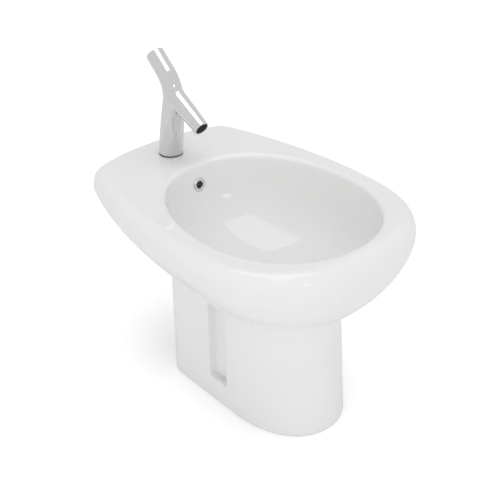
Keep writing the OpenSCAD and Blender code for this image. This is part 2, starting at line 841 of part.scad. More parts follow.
seal_h = 1.6;
flange_h = 2.4;
flange_z = seat_z + seal_h;
tail_z = flange_z - tail_l;
tail_bore_r = tail_r - tail_t;
slot_w = 12;
slot_z = floor_z - duct_top - duct_h + 1.5;
module waste_seal() {
    color(rubber)
        at_waste(seat_z)
            difference() {
                cylinder(r = flange_r - 0.5, h = seal_h);
                translate([0, 0, -1])
                    cylinder(r = tail_r + gap, h = seal_h + 2);
            }
}
module waste_body() {
    color(chrome)
        difference() {
            at_waste(flange_z)
                rotate_extrude($fn = 96)
                    polygon([
                        [tail_bore_r, -tail_l], [tail_r - 0.8, -tail_l], [tail_r, 1 - tail_l],
                        [tail_r, 0], [flange_r, 0], [flange_r, 0.8], [flange_r - 1.2, 1.9],
                        [flange_r - 4, flange_h], [tail_bore_r + 5, 1.6],
                        [tail_bore_r + 1, -0.6], [tail_bore_r, -2.4]]);
            // Slots that let the overflow water in
            for (a = [0, 90])
                at_waste(slot_z)
                    rotate([0, 0, a])
                        translate([-2 * tail_r, -slot_w / 2, 0])
                            cube([4 * tail_r, slot_w, duct_h - 3]);
        }
}
gasket_h = 7;
module waste_gasket() {
    color(rubber)
        at_waste(boss_z)
            rotate_extrude()
                polygon([
                    [tail_r + thread_gap, -gasket_h], [waste_hole_r + 3, -gasket_h],
                    [boss_r - 4, -2.5], [boss_r - 4, 0], [tail_r + thread_gap, 0]]);
}
waste_nut_h = 9;
nut_skirt_h = 2;
module waste_nut() {
    color(brass)
        at_waste(boss_z - gasket_h - waste_nut_h)
            difference() {
                union() {
                    cylinder(r = tail_r + 9, h = waste_nut_h, $fn = 6);
                    translate([0, 0, waste_nut_h - nut_skirt_h])
                        cylinder(r = tail_r + 10, h = nut_skirt_h);
                }
                translate([0, 0, -1])
                    cylinder(r = tail_r + thread_gap, h = waste_nut_h + 2);
            }
}

// The plug stands a little above the flange when shut, and its stem runs in the guide
cap_rest = flange_h + 0.4;
cap_r = tail_bore_r + 9.3;
cap_edge = 1.4;
cap_dome = 4.6;
oring_r = 1.15;
oring_z = 5.4;
skirt_r = tail_bore_r - gap - oring_r;
skirt_h = 9;
guide_z = 34;
guide_l = 20;
guide_ring_h = 8;
guide_hub_r = stem_r + 4;
stem_l = guide_z + cap_rest + plug_travel;
module waste_plug() {
    groove = skirt_r - 1.2;
    color(chrome)
        at_waste(flange_z + cap_rest)
            rotate_extrude($fn = 96)
                polygon(concat(
                    [[0, -stem_l], [stem_r - 0.6, -stem_l], [stem_r, 0.6 - stem_l],
                     [stem_r, -skirt_h], [skirt_r, -skirt_h],
                     [skirt_r, -oring_z - 1.2], [groove, -oring_z - 1.2],
                     [groove, 1.2 - oring_z], [skirt_r, 1.2 - oring_z],
                     [skirt_r, 0], [cap_r - 0.5, 0], [cap_r, 0.6]],
                    [for (t = [0 : 15 : 90]) [cap_r * cos(t), cap_edge + cap_dome * sin(t)]]));
}
module plug_oring() {
    color(rubber)
        at_waste(flange_z + cap_rest - oring_z)
            rotate_extrude()
                translate([skirt_r, 0])
                    circle(oring_r, $fn = 24);
}
module plug_guide() {
    color(grey_plastic)
        at_waste(flange_z - guide_z)
            difference() {
                union() {
                    cylinder(r = guide_hub_r, h = guide_l);
                    difference() {
                        cylinder(r = tail_bore_r - 0.1, h = guide_ring_h);
                        translate([0, 0, -1])
                            cylinder(r = tail_bore_r - 2, h = guide_ring_h + 2);
                    }
                    for (a = [0 : 120 : 240])
                        rotate([0, 0, a])
                            translate([0, -1.25, 0])
                                cube([tail_bore_r - 1, 2.5, guide_ring_h]);
                }
                translate([0, 0, -1])
                    cylinder(r = stem_r + run_gap, h = guide_l + 2);
            }
}

// ---- Bottle trap: a head with a dip tube and a spigot, and a cup screwed on from below ----

union_seal_h = 2;
union_z = tail_z - union_seal_h;
union_lip = 3;
head_z = union_z - 14;
head_r = pipe_r + head_play + 4;
skirt_t = 1.5;
socket_t = 3.4;
socket_r = pipe_r + socket_t;
socket_l = 16;
outlet_z = head_z - socket_r - 3;
cup_over = 12;
cup_z = outlet_z - socket_r - 3 - cup_over;
head_l = head_z - cup_z;
spigot_end = waste_y + head_r + 23;
dip_below = 30;
module trap_union_seal() {
    color(rubber)
        at_waste(union_z)
            difference() {
                cylinder(r = tail_r - 0.4, h = union_seal_h);
                translate([0, 0, -1])
                    cylinder(r = pipe_r - tube_t, h = union_seal_h + 2);
            }
}
module trap_union_nut() {
    color(chrome)
        at_waste(union_z - 2 * union_lip)
            difference() {
                union() {
                    cylinder(r = tail_r + 6, h = 17, $fn = 8);
                    translate([0, 0, 17])
                        cylinder(r = tail_r + 3.6, h = 2);
                }
                translate([0, 0, union_lip])
                    cylinder(r = tail_r + thread_gap, h = 20);
                translate([0, 0, -1])
                    cylinder(r = pipe_r + gap, h = 20);
            }
}

// Along the outlet, from a distance behind the trap's axis
module at_outlet(y) {
    translate([0, y, outlet_z])
        rotate([-90, 0, 0])
            children();
}
module trap_body() {
    color(chrome)
        difference() {
            union() {
                at_waste(union_z - union_lip + 0.1)
                    cylinder(r = tail_r - 0.2, h = union_lip - 0.1);
                at_waste(cup_z - dip_below)
                    cylinder(r = pipe_r, h = union_z - cup_z + dip_below);
                at_waste(head_z)
                    rotate_extrude()
                        polygon([
                            [0, 0], [head_r - 6, 0], [head_r - 1.8, -1.8], [head_r, -6],
                            [head_r, cup_over + 2.5 - head_l],
                            [head_r - skirt_t, cup_over + 2.5 - head_l],
                            [head_r - skirt_t, -head_l], [0, -head_l]]);
                at_outlet(waste_y + pipe_r)
                    cylinder(r = socket_r, h = spigot_end - waste_y - pipe_r);
            }
            // Chamber between the dip tube and the head's wall
            at_waste(head_z)
                rotate_extrude()
                    polygon([
                        [pipe_r, -4], [head_r - 7, -4], [head_r - 4, -9],
                        [head_r - 4, -head_l - 1], [pipe_r, -head_l - 1]]);
            at_waste(cup_z - dip_below - 1)
                cylinder(r = pipe_r - tube_t, h = union_z - cup_z + dip_below + 2);
            at_outlet(waste_y + pipe_r + 1)
                cylinder(r = pipe_r - tube_t, h = spigot_end - waste_y);
            at_outlet(spigot_end - socket_l)
                cylinder(r = pipe_r + thread_gap, h = socket_l + 1);
        }
}
module cup_seal() {
    color(rubber)
        at_waste(cup_z - 1.5)
            difference() {
                cylinder(r = head_r - skirt_t, h = 1.5);
                translate([0, 0, -1])
                    cylinder(r = head_r - 4.2, h = 4);
            }
}
cup_round = 14;
cup_t = 2.5;
module trap_cup() {
    collar = head_r - skirt_t + thread_gap;
    low = cup_over - cup_l;
    mid = head_r - 1 - cup_round;
    inner = cup_round - cup_t;
    color(chrome)
        at_waste(cup_z)
            rotate_extrude()
                polygon(concat(
                    [[collar, cup_over], [head_r + 2.2, cup_over], [head_r + 2.8, cup_over - 1],
                     [head_r + 2.8, -3], [head_r + 0.5, -6], [head_r - 1, -10]],
                    [for (t = [0 : 15 : 90])
                        [mid + cup_round * cos(t), low + cup_round * (1 - sin(t))]],
                    [[0, low], [0, low + cup_t]],
                    [for (t = [90 : -15 : 0])
                        [mid + inner * cos(t), low + cup_round - inner * sin(t)]],
                    [[head_r - 1 - cup_t, -1.5], [collar, -1.5]]));
}
seal_cone_h = 4;
module outlet_seal() {
    color(rubber)
        at_outlet(spigot_end)
            difference() {
                cylinder(r1 = socket_r - 0.2, r2 = pipe_r + 2, h = seal_cone_h);
                translate([0, 0, -1])
                    cylinder(r = pipe_r + thread_gap, h = seal_cone_h + 2);
            }
}
module outlet_nut() {
    grip = 12;
    color(chrome)
        at_outlet(spigot_end - grip)
            difference() {
                union() {
                    cylinder(r = socket_r + 6, h = grip + 5, $fn = 8);
                    translate([0, 0, grip + 5])
                        cylinder(r1 = socket_r + 3, r2 = socket_r + 0.6, h = 3);
                }
                translate([0, 0, -1])
                    cylinder(r = socket_r + thread_gap, h = grip + 1 + seal_cone_h);
                cylinder(r = pipe_r + gap, h = grip + 20);
            }
}
// A shallow rolled mark shows how far the pipe goes into the wall's socket
mark_w = 2;
mark_depth = 0.3;
module outlet_pipe() {
    start = spigot_end - socket_l + 1;
    len = foot_back_y + pipe_out - start;
    mark = len - pipe_in_wall;
    color(chrome)
        at_outlet(start)
            rotate_extrude()
                polygon([
                    [pipe_r - 1.5, 0], [pipe_r, 0],
                    [pipe_r, mark - mark_w], [pipe_r - mark_depth, mark - mark_w],
                    [pipe_r - mark_depth, mark], [pipe_r, mark],
                    [pipe_r, len], [pipe_r - 1.5, len]]);
}

pan_bowl();
pan_shell();
overflow_ring();
fixing_bushes();
tap_body();
tap_base_ring();
temp_handle();
handle_screw();
temp_spindle();
temp_cartridge();
cartridge_nut();
flow_collar();
outlet_insert();
flow_tube();
flow_orings();
tap_stud();
stud_washer();
stud_plate();
stud_nut();
waste_body();
waste_seal();
waste_gasket();
waste_nut();
waste_plug();
plug_oring();
plug_guide();
trap_union_nut();
trap_union_seal();
trap_body();
trap_cup();
cup_seal();
outlet_nut();
outlet_seal();
outlet_pipe();
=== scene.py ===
import json
import math
import bmesh
import bpy
import numpy as np
from mathutils import Matrix, Vector


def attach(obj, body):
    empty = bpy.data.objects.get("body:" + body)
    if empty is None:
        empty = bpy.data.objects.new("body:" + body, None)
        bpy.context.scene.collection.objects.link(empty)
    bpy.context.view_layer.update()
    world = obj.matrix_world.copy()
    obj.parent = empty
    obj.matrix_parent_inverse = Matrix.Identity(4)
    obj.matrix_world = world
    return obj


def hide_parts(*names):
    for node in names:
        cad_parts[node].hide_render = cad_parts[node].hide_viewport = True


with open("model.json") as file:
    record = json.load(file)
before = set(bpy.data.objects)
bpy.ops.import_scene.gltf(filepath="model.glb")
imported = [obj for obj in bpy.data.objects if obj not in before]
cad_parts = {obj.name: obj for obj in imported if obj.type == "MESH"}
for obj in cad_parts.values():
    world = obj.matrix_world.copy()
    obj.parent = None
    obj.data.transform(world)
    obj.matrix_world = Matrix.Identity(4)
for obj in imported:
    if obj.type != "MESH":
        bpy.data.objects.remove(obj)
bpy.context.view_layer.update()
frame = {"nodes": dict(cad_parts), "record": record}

MM = 0.001


# ---------------------------------------------------------------- meshes

CREASE, CHINA_CREASE, TAP_CREASE = 35.0, 32.0, 30.0


def make_piece(name, verts, faces, smooth=True):
    """Mesh object at the origin from vertex positions in mm and a list of faces."""
    mesh = bpy.data.meshes.new(name)
    mesh.from_pydata((np.asarray(verts) * MM).tolist(), [], faces)
    mesh.validate()
    obj = bpy.data.objects.new(name, mesh)
    bpy.context.scene.collection.objects.link(obj)
    if smooth:
        shade(obj, CREASE)
    return obj


def shade(obj, crease):
    """Smooth shading, with the edges that turn by more than crease degrees left sharp."""
    obj.data.polygons.foreach_set("use_smooth", [True] * len(obj.data.polygons))
    obj.data.set_sharp_from_angle(angle=math.radians(crease))


def outward(obj):
    """Turns a closed mesh's faces outwards."""
    bm = bmesh.new()
    bm.from_mesh(obj.data)
    bmesh.ops.recalc_face_normals(bm, faces=bm.faces)
    bm.to_mesh(obj.data)
    bm.free()
    return obj


def grid_faces(rows, cols):
    """Quads between neighbouring rings of a rows x cols grid, ring after ring."""
    i = np.arange(rows - 1)[:, None] * cols
    j = np.arange(cols)[None, :]
    k = (j + 1) % cols
    return np.stack([i + j, i + k, i + cols + k, i + cols + j], -1).reshape(-1, 4).tolist()


def loft(name, rings, first_pole, last_pole):
    """Closed skin over rings of equal length, each end closed by a fan to its pole."""
    rings = np.asarray(rings, float)
    m, n = rings.shape[:2]
    j = np.arange(n)
    k = (j + 1) % n
    first, last, end = np.full(n, m * n), np.full(n, m * n + 1), (m - 1) * n
    faces = (grid_faces(m, n) + np.stack([first, k, j], -1).tolist()
             + np.stack([end + j, end + k, last], -1).tolist())
    verts = np.concatenate([rings.reshape(-1, 3), [first_pole], [last_pole]])
    return make_piece(name, verts, faces)


def boolean(obj, other, operation):
    """Adds another closed mesh, cuts it away or keeps what both share, and deletes it."""
    mod = obj.modifiers.new(operation, "BOOLEAN")
    mod.operation = operation
    mod.solver = "MANIFOLD"
    mod.object = other
    bake(obj)
    bpy.data.objects.remove(other)


def bake(obj):
    """Applies an object's modifiers to its mesh."""
    graph = bpy.context.evaluated_depsgraph_get()
    mesh = bpy.data.meshes.new_from_object(obj.evaluated_get(graph))
    obj.modifiers.clear()
    obj.data = mesh
    mesh.name = obj.name


# ---------------------------------------------------------------- the pan's sizes in mm

PAN_L, PAN_W, PAN_H, CHINA_T = 570.0, 422.0, 389.0, 12.0
FINE = 4    # how many times finer the skin is than its coarsest form

# rim and deck; the rim is widest WIDE_Y in front of the middle
WIDE_Y, HALF_W = 65.0, PAN_W / 2
FRONT_REACH, BACK_REACH = PAN_L / 2 - WIDE_Y, PAN_L / 2 + WIDE_Y
FRONT_SQUARE, DRAW_IN, SIDE_POWER = 2.83, 0.351, 1.875
BACK_ARC_R, CORNER_SHARP, CORNER_TURN, CORNER_SPREAD = 359.0, 70.0, 65.0, 5.0
EDGE_DROP, EDGE_IN, LIP_IN, LIP_DROP = 40.0, 28.0, 10.0, 8.0
EDGE_SHARE, LIP_SHARE = 0.65, 0.3    # the most of the rim's width that each may take
DISH_DEPTH, DISH_Y, DISH_W, DISH_L = 8.0, 213.0, 82.0, 55.0
SHOULDER_Z = PAN_H - EDGE_DROP

# bowl
MOUTH_Y, MOUTH_HALF_W, MOUTH_FRONT, MOUTH_BACK, MOUTH_SQUARE = -79.0, 161.0, 174.0, 212.0, 2.13
FLOOR_Z, BOWL_H, BOWL_FULL = 240.0, 141.0, 2.5
WASTE_Y = -60.0
WASTE_REACH = MOUTH_Y + MOUTH_BACK - WASTE_Y

# hull and foot
FULL_FRONT, FULL_BACK, FULL_SIDE = 1.94, 1.46, 1.30
FOOT_W, FOOT_T, FOOT_EDGE_R = 200.0, 14.0, 5.0
FOOT_FRONT_Y, FOOT_BACK_Y, FOOT_WIDE_Y = -213.0, 102.0, -73.5
FOOT_FRONT_SQUARE, FOOT_BACK_SQUARE = 2.15, 18.0
FOOT_TOP_Z, FOOT_TOE, FOOT_TOP_IN = 237.0, 5.7, 14.0
FOOT_FILLET, FILLET_PULL = 18.0, 0.6
HULL_H = SHOULDER_Z - FOOT_TOP_Z

# hollow between bowl and hull: its ceiling falls from a wide rim to a narrow one
DECK_UNDER_Z, CEILING_CUT, CEILING_FALL = 373.0, 8.0, 30.0
RIM_WIDE, RIM_NARROW = 60.0, 32.0
HOLLOW_START = FOOT_TOP_Z - 8


# ---------------------------------------------------------------- pan: the skin

def oval_r(a, rx, ry, n):
    """Polar radius of the oval |x/rx|^n + |y/ry|^n = 1 at angle a."""
    return ((np.abs(np.cos(a)) / rx) ** n + (np.abs(np.sin(a)) / ry) ** n) ** (-1 / n)


def rim_back_r(a):
    """Back half of the rim: the drawn-in side x = w (1 - q (y/b)^p), found by halving, and the
    arched back, joined by the soft minimum (side^-n + arc^-n)^(-1/n)."""
    c, s = np.abs(np.cos(a)), np.maximum(np.sin(a), 0.0)
    low, high = np.zeros_like(c), np.full_like(c, 2000.0)
    for _ in range(45):
        r = (low + high) / 2
        inside = r * c < HALF_W * (1 - DRAW_IN * (r * s / BACK_REACH) ** SIDE_POWER)
        low, high = np.where(inside, r, low), np.where(inside, high, r)
    d = BACK_REACH - BACK_ARC_R
    arc = d * s + np.sqrt(BACK_ARC_R ** 2 - (d * c) ** 2)
    return (low ** -CORNER_SHARP + arc ** -CORNER_SHARP) ** (-1 / CORNER_SHARP)


def column_angles():
    """Angles round the pan, closer together at the two back corners."""
    c, w = CORNER_TURN, CORNER_SPREAD
    parts = [(0, c - w, 12), (c - w, c + w, 11), (c + w, 180 - c - w, 8),
             (180 - c - w, 180 - c + w, 11), (180 - c + w, 180, 12), (180, 360, 28)]
    return np.radians(np.concatenate(
        [np.linspace(a, b, n * FINE, endpoint=False) for a, b, n in parts]))


def polar(r, a, y0):
    """Plan points at radius r and angle a round (0, y0)."""
    return np.stack([r * np.cos(a), y0 + r * np.sin(a)], -1)


def level(p, z):
    """Ring of the plan points p at height z, one for all or one for each."""
    return np.column_stack([p, np.broadcast_to(z, len(p))])


def toward(p, q, d):
    """Points at distance d from p on the way to q."""
    u = (q - p) / np.linalg.norm(q - p, axis=1)[:, None]
    return p + u * np.broadcast_to(d, len(q))[:, None]


def bowl_profile(t, reach, off):
    """The bowl's section at turn t, as (out, z): out = reach sin(t)^k, up = h (1 - cos(t)^k),
    with k = 2 / fullness, moved off along its normal."""
    k = 2 / BOWL_FULL
    sine, cosine = np.sin(t), np.maximum(np.cos(t), 0.0)
    s, z = reach * sine ** k, FLOOR_Z + BOWL_H * (1 - cosine ** k)
    if off == 0:
        return s, z
    ds, dz = reach * k * sine ** (k - 1) * cosine, BOWL_H * k * cosine ** (k - 1) * sine
    n = np.hypot(ds, dz)
    return s + off * dz / n, z - off * ds / n


class Pan:
    """The pan's rings: the part's own family of curves, at a finer pitch."""

    def __init__(self):
        a = self.a = column_angles()
        back = a < math.pi
        front_r = oval_r(a, HALF_W, FRONT_REACH, FRONT_SQUARE)
        self.rims = polar(np.where(back, rim_back_r(a), front_r), a, -WIDE_Y)
        mouth_reach = np.where(back, MOUTH_BACK, MOUTH_FRONT)
        self.mouths = polar(oval_r(a, MOUTH_HALF_W, mouth_reach, MOUTH_SQUARE), a, MOUTH_Y)
        self.foot_r = np.where(
            back, oval_r(a, FOOT_W / 2, FOOT_BACK_Y - FOOT_WIDE_Y, FOOT_BACK_SQUARE),
            oval_r(a, FOOT_W / 2, FOOT_WIDE_Y - FOOT_FRONT_Y, FOOT_FRONT_SQUARE))
        self.rim_w = np.linalg.norm(self.rims - self.mouths, axis=1)
        f, b = np.maximum(-np.sin(a), 0) ** 2, np.maximum(np.sin(a), 0) ** 2
        self.front = f
        self.full = f * FULL_FRONT + b * FULL_BACK + (1 - f - b) * FULL_SIDE
        self.feet = self.foot_line(0.0, FOOT_TOP_Z)
        self.span = np.linalg.norm(self.rims - self.feet, axis=1)
        self.hull_end = np.arccos((FOOT_FILLET / self.span) ** (self.full / 2))

    def bowl(self, t, off=0.0):
        """Bowl ring at turn t, from 0 over the waste to 90 at the mouth."""
        waste = np.array([[0.0, WASTE_Y]])
        reach = np.linalg.norm(self.mouths - waste, axis=1)
        s, z = bowl_profile(t, reach, off)
        return level(toward(waste, self.mouths, s), z)

    def lip(self, t):
        """Rounding of the rim into the bowl: a quarter oval, t from 0 in the bowl to 90 on top."""
        w = np.minimum(LIP_IN, LIP_SHARE * self.rim_w)
        return level(toward(self.mouths, self.rims, w * (1 - math.cos(t))),
                     PAN_H - LIP_DROP * (1 - math.sin(t)))

    def edge(self, t):
        """Rounded outer edge: a quarter oval, t from 0 on top to 90 at the shoulder."""
        w = np.minimum(EDGE_IN, EDGE_SHARE * self.rim_w)
        return level(toward(self.rims, self.mouths, w * (1 - math.sin(t))),
                     PAN_H - EDGE_DROP * (1 - math.cos(t)))

    def foot_line(self, inset, z):
        """Plan of the foot at height z: its front leans back from the toe upwards."""
        lean = FOOT_TOE - (FOOT_TOE + FOOT_TOP_IN) * np.clip(z / FOOT_TOP_Z, 0, 1)
        return polar(self.foot_r - inset + self.front * lean, self.a, FOOT_WIDE_Y)

    def foot(self, inset, z):
        """Foot ring at height z."""
        return level(self.foot_line(inset, z), z)

    def profile(self, t, off=0.0):
        """Hull's profile at turn t as (out, z): out = span cos(t)^k, down = h sin(t)^k, with
        k = 2 / fullness, moved off along its normal; and its unit direction."""
        k = 2 / self.full
        c, si = np.maximum(np.cos(t), 1e-9), np.maximum(np.sin(t), 1e-9)
        s, z = self.span * c ** k, SHOULDER_Z - HULL_H * si ** k
        ds = -self.span * k * c ** (k - 1) * si
        dz = -HULL_H * k * si ** (k - 1) * c
        n = np.hypot(ds, dz)
        return s + off * dz / n, z - off * ds / n, ds / n, dz / n

    def hull(self, share):
        """Hull ring at a share of the way down to where the fillet starts, a fillet's length
        out from the foot."""
        s, z, _, _ = self.profile(share * self.hull_end)
        return level(toward(self.feet, self.rims, s), z)

    def inner_hull(self, t):
        """Ring at turn t of the hull's inner face, a wall's thickness in."""
        s, z, _, _ = self.profile(t, CHINA_T)
        return level(toward(self.feet, self.rims, s), z)

    def fillet(self, u):
        """Hollow curve from hull to foot, u from 0 to 1: a cubic that leaves along the hull and
        arrives straight down."""
        s0, z0, ds, dz = self.profile(self.hull_end)
        arm = FILLET_PULL * FOOT_FILLET
        w0, w1, w2, w3 = (1 - u) ** 3, 3 * u * (1 - u) ** 2, 3 * u * u * (1 - u), u ** 3
        s = w0 * s0 + w1 * (s0 + arm * ds)
        z = w0 * z0 + w1 * (z0 + arm * dz) + (w2 + w3) * (z0 - FOOT_FILLET) + w2 * arm
        return level(toward(self.foot_line(0.0, z), self.rims, s), z)

    def ceiling(self, p, q, part, down):
        """Ring of the hollow's ceiling beside p, on q's side: lower where the rim is narrow. Its
        corners are cut, and part and down say which end of the cut this is."""
        corner = np.minimum(CEILING_CUT, (self.rim_w - 2 * CHINA_T) / 3)
        narrow = np.clip((RIM_WIDE - self.rim_w) / (RIM_WIDE - RIM_NARROW), 0, 1)
        z = DECK_UNDER_Z - CEILING_FALL * narrow
        return level(toward(p, q, CHINA_T + part * corner), z - down * CEILING_CUT)


def sink_deck(rings):
    """Dishes the deck round the tap, flat in the middle: depth exp(-r^3) with r the distance
    in widths and lengths of the dish, fading out between the top and the deck's underside."""
    x, y, z = rings[..., 0], rings[..., 1], rings[..., 2]
    dish = DISH_DEPTH * np.exp(-np.hypot(x / DISH_W, (y - DISH_Y) / DISH_L) ** 3)
    rings[..., 2] -= dish * np.clip((z - DECK_UNDER_Z) / (PAN_H - DECK_UNDER_Z), 0, 1)
    return rings


def pan_shell():
    """Closed skin of the pan: up the bowl, over the rim, down hull and foot, and back inside."""
    p, rad = Pan(), math.radians
    rings = [p.bowl(rad(t)) for t in np.linspace(0, 90, 16 * FINE + 1)[1:]]
    rings += [p.lip(rad(t)) for t in np.linspace(0, 90, 3 * FINE + 1)[1:]]
    lip, edge = rings[-1], p.edge(0)
    rings += [lip + (edge - lip) * u for u in np.linspace(0, 1, 5 * FINE)[1:-1]]
    rings += [p.edge(rad(t)) for t in np.linspace(0, 90, 5 * FINE + 1)[:-1]]
    rings += [p.hull(u) for u in np.linspace(0, 1, 9 * FINE + 1)]
    rings += [p.fillet(u) for u in np.linspace(0, 1, 2 * FINE + 1)[1:]]
    low = rings[-1][:, 2]
    rings += [p.foot(0, FOOT_EDGE_R + (low - FOOT_EDGE_R) * u)
              for u in np.linspace(1, 0, 5 * FINE + 1)[1:-1]]
    rings += [p.foot(FOOT_EDGE_R * (1 - math.cos(rad(t))), FOOT_EDGE_R * (1 - math.sin(rad(t))))
              for t in np.linspace(0, 90, FINE + 3)]
    rings += [p.foot(FOOT_T, z) for z in np.linspace(0, HOLLOW_START, 3 * FINE + 1)]
    rings += [p.inner_hull(rad(t)) for t in np.linspace(78, 24, 4 * FINE)]
    rings += [p.ceiling(p.rims, p.mouths, 0, 1), p.ceiling(p.rims, p.mouths, 1, 0),
              p.ceiling(p.mouths, p.rims, 1, 0), p.ceiling(p.mouths, p.rims, 0, 1)]
    rings += [p.bowl(rad(t), CHINA_T) for t in np.linspace(74, 14, 5 * FINE)]
    return loft("china_pan", sink_deck(np.array(rings)), (0, WASTE_Y, FLOOR_Z),
                (0, WASTE_Y, FLOOR_Z - CHINA_T))


# ---------------------------------------------------------------- turned pieces

def turned(corners, steps=5):
    """A profile (r, z) from corners (r, z) or (r, z, rounding): a rounded corner becomes an arc
    of that radius that touches both its edges."""
    p = np.array([c[:2] for c in corners], float)
    out = [p[0]]
    for i in range(1, len(p) - 1):
        r = corners[i][2] if len(corners[i]) > 2 else 0
        u, v = p[i - 1] - p[i], p[i + 1] - p[i]
        u, v = u / np.linalg.norm(u), v / np.linalg.norm(v)
        half = math.acos(np.clip(u @ v, -1, 1)) / 2
        if r == 0 or abs(half - math.pi / 2) < 1e-3:
            out.append(p[i])
            continue
        mid = (u + v) / np.linalg.norm(u + v)
        centre = p[i] + mid * r / math.sin(half)
        a, b = p[i] + u * r / math.tan(half) - centre, p[i] + v * r / math.tan(half) - centre
        sweep = math.atan2(a[0] * b[1] - a[1] * b[0], a @ b)
        for t in np.linspace(0, 1, steps + 1):
            c, s = math.cos(sweep * t), math.sin(sweep * t)
            out.append(centre + [a[0] * c - a[1] * s, a[0] * s + a[1] * c])
    out.append(p[-1])
    return np.array(out)


def lathe(name, profile, place, n=96, ring=False):
    """Solid of revolution: point (r, z) of the profile becomes (r cos a, r sin a, z) for n
    angles, put in place. A ring's profile ends where it starts; any other starts and ends on
    the axis, where a fan closes it."""
    a = np.linspace(0, 2 * math.pi, n, endpoint=False)
    body = profile[:-1] if ring else profile[1:-1]
    m = len(body)
    r, z = body[:, :1], body[:, 1:]
    grid = np.stack([r * np.cos(a), r * np.sin(a), np.broadcast_to(z, (m, n))], -1)
    if ring:
        i, j = np.arange(m)[:, None], np.arange(n)[None, :]
        up, on = (i + 1) % m, (j + 1) % n
        faces = np.stack([i * n + j, up * n + j, up * n + on, i * n + on], -1).reshape(-1, 4)
        return outward(make_piece(name, place(grid.reshape(-1, 3)), faces.tolist()))
    first, last = (place(np.array([0, 0, end])) for end in (profile[0, 1], profile[-1, 1]))
    return outward(loft(name, place(grid), first, last))


def along(at, direction):
    """Place for a piece whose own axis is +Z: at (y, z), along a direction in the Y-Z plane."""
    dy, dz = direction
    axes = np.array([[1, 0, 0], [0, dz, -dy], [0, dy, dz]])

    def place(p):
        return np.asarray(p, float) @ axes + [0, at[0], at[1]]
    return place


def upright(x, y, z):
    """Place for a piece that stands upright on its axis."""
    def place(p):
        return np.asarray(p, float) + [x, y, z]
    return place


def rod(r, z0, z1, place, n=48):
    """Plain closed cylinder, for joining on or cutting."""
    return lathe("cut", np.array([[0, z0], [r, z0], [r, z1], [0, z1]], float), place, n)


# ---------------------------------------------------------------- pan: joined on and cut out

# how far a cutter reaches past the face that it opens, and into the open bowl
PAST, INTO_BOWL, INTO_MOUTH = 1.0, 9.0, 6.0

BOSS_R, BOSS_Z, BOSS_SINK, WASTE_HOLE_R = 36.5, 207.0, 6.0, 23.0
SEAT_Z, SEAT_R, SEAT_FLARE, SEAT_H, SEAT_FLARE_H, SEAT_CUT_H = 238.0, 33.0, 6.0, 2.6, 5.4, 20.0

# overflow: its channel lies between distances behind the bowl's face, in walls that start in
# the bowl's own; turns of the bowl's section say where the channel and its walls end
DUCT_W, DUCT_T, DUCT_TOP, DUCT_LOW, DUCT_UNDER = 28.0, 7.0, 13.0, 25.0, 32.0
DUCT_OVERLAP, DUCT_END, DUCT_WALL_END = 4.0, 82.5, 84.0
OVERFLOW_Z, OVERFLOW_R, RING_OVER, RING_SINK, RING_PLAY = 347.0, 10.0, 2.5, 0.6, 0.5

NICHE_Y0, NICHE_W, NICHE_D, NICHE_Z, NICHE_TOP = -57.5, 48.0, 16.0, 48.0, 206.0
NICHE_R, NICHE_SMALL_R, NICHE_LIP, NICHE_FILLET = 12.0, 4.5, 2.6, 3.2
NICHE_WALL, NICHE_WALL_X0, NICHE_WALL_X1, NICHE_WALL_Z = 12.0, 72.0, 93.0, 2.0
SCREW_X, SCREW_Y, SCREW_R = 92.0, -33.5, 4.5

REAR_W, REAR_Y0, REAR_Y1, REAR_R, REAR_TOP, REAR_UNDER_BOWL = 124.0, 60.0, 262.0, 20.0, 360.0, 20.0
TAP_Y, TAP_HOLE_R = 210.0, 17.5


def bowl_line(off, turns):
    """The bowl's section in the X = 0 plane behind the waste, as (y, z), for turns in degrees,
    moved off along its normal."""
    s, z = bowl_profile(np.radians(turns), WASTE_REACH, off)
    return np.column_stack([WASTE_Y + s, z])


def overflow_place():
    """Where the bowl's back wall reaches the overflow's height, and the wall's normal there."""
    turn = math.acos((1 - (OVERFLOW_Z - FLOOR_Z) / BOWL_H) ** (BOWL_FULL / 2))
    at, = bowl_line(0.0, [math.degrees(turn)])
    into, = bowl_line(-1.0, [math.degrees(turn)]) - at
    return at, into


def prism(points, lo, hi, axis=0):
    """Closed extrusion of an outline. Along X the outline is (y, z); along Z it is (x, y)."""
    p = np.asarray(points, float)
    n = len(p)
    ends = []
    for v in (lo, hi):
        q = np.full((n, 3), v, float)
        q[:, [i for i in range(3) if i != axis]] = p
        ends.append(q)
    faces = grid_faces(2, n) + [list(range(n))[::-1], list(range(n, 2 * n))]
    return outward(make_piece("cut", np.concatenate(ends), faces, smooth=False))


def split_sides(outline, parts):
    """Outline with each of its points followed by more of them on the way to the next."""
    share = np.linspace(0, 1, parts, endpoint=False)[None, :, None]
    after = np.roll(outline, -1, axis=0)
    return (outline[:, None] + (after - outline)[:, None] * share).reshape(-1, 2)


def niche_outline(grow):
    """Outline of a niche as (y, z), grown all round: each corner's arc keeps its centre and has
    radius r + grow. The upper front corner is the large one."""
    big, small = NICHE_R, NICHE_SMALL_R
    y0, y1, z0, z1 = NICHE_Y0, NICHE_Y0 + NICHE_W, NICHE_Z, NICHE_TOP
    arcs = [(y1 - small, z1 - small, small, 0), (y0 + big, z1 - big, big, 90),
            (y0 + small, z0 + small, small, 180), (y1 - small, z0 + small, small, 270)]
    out = []
    for cy, cz, r, turn in arcs:
        t = np.radians(turn + np.linspace(0, 90, 6))
        out.append(np.column_stack([cy + (r + grow) * np.cos(t), cz + (r + grow) * np.sin(t)]))
    return split_sides(np.concatenate(out), 6)


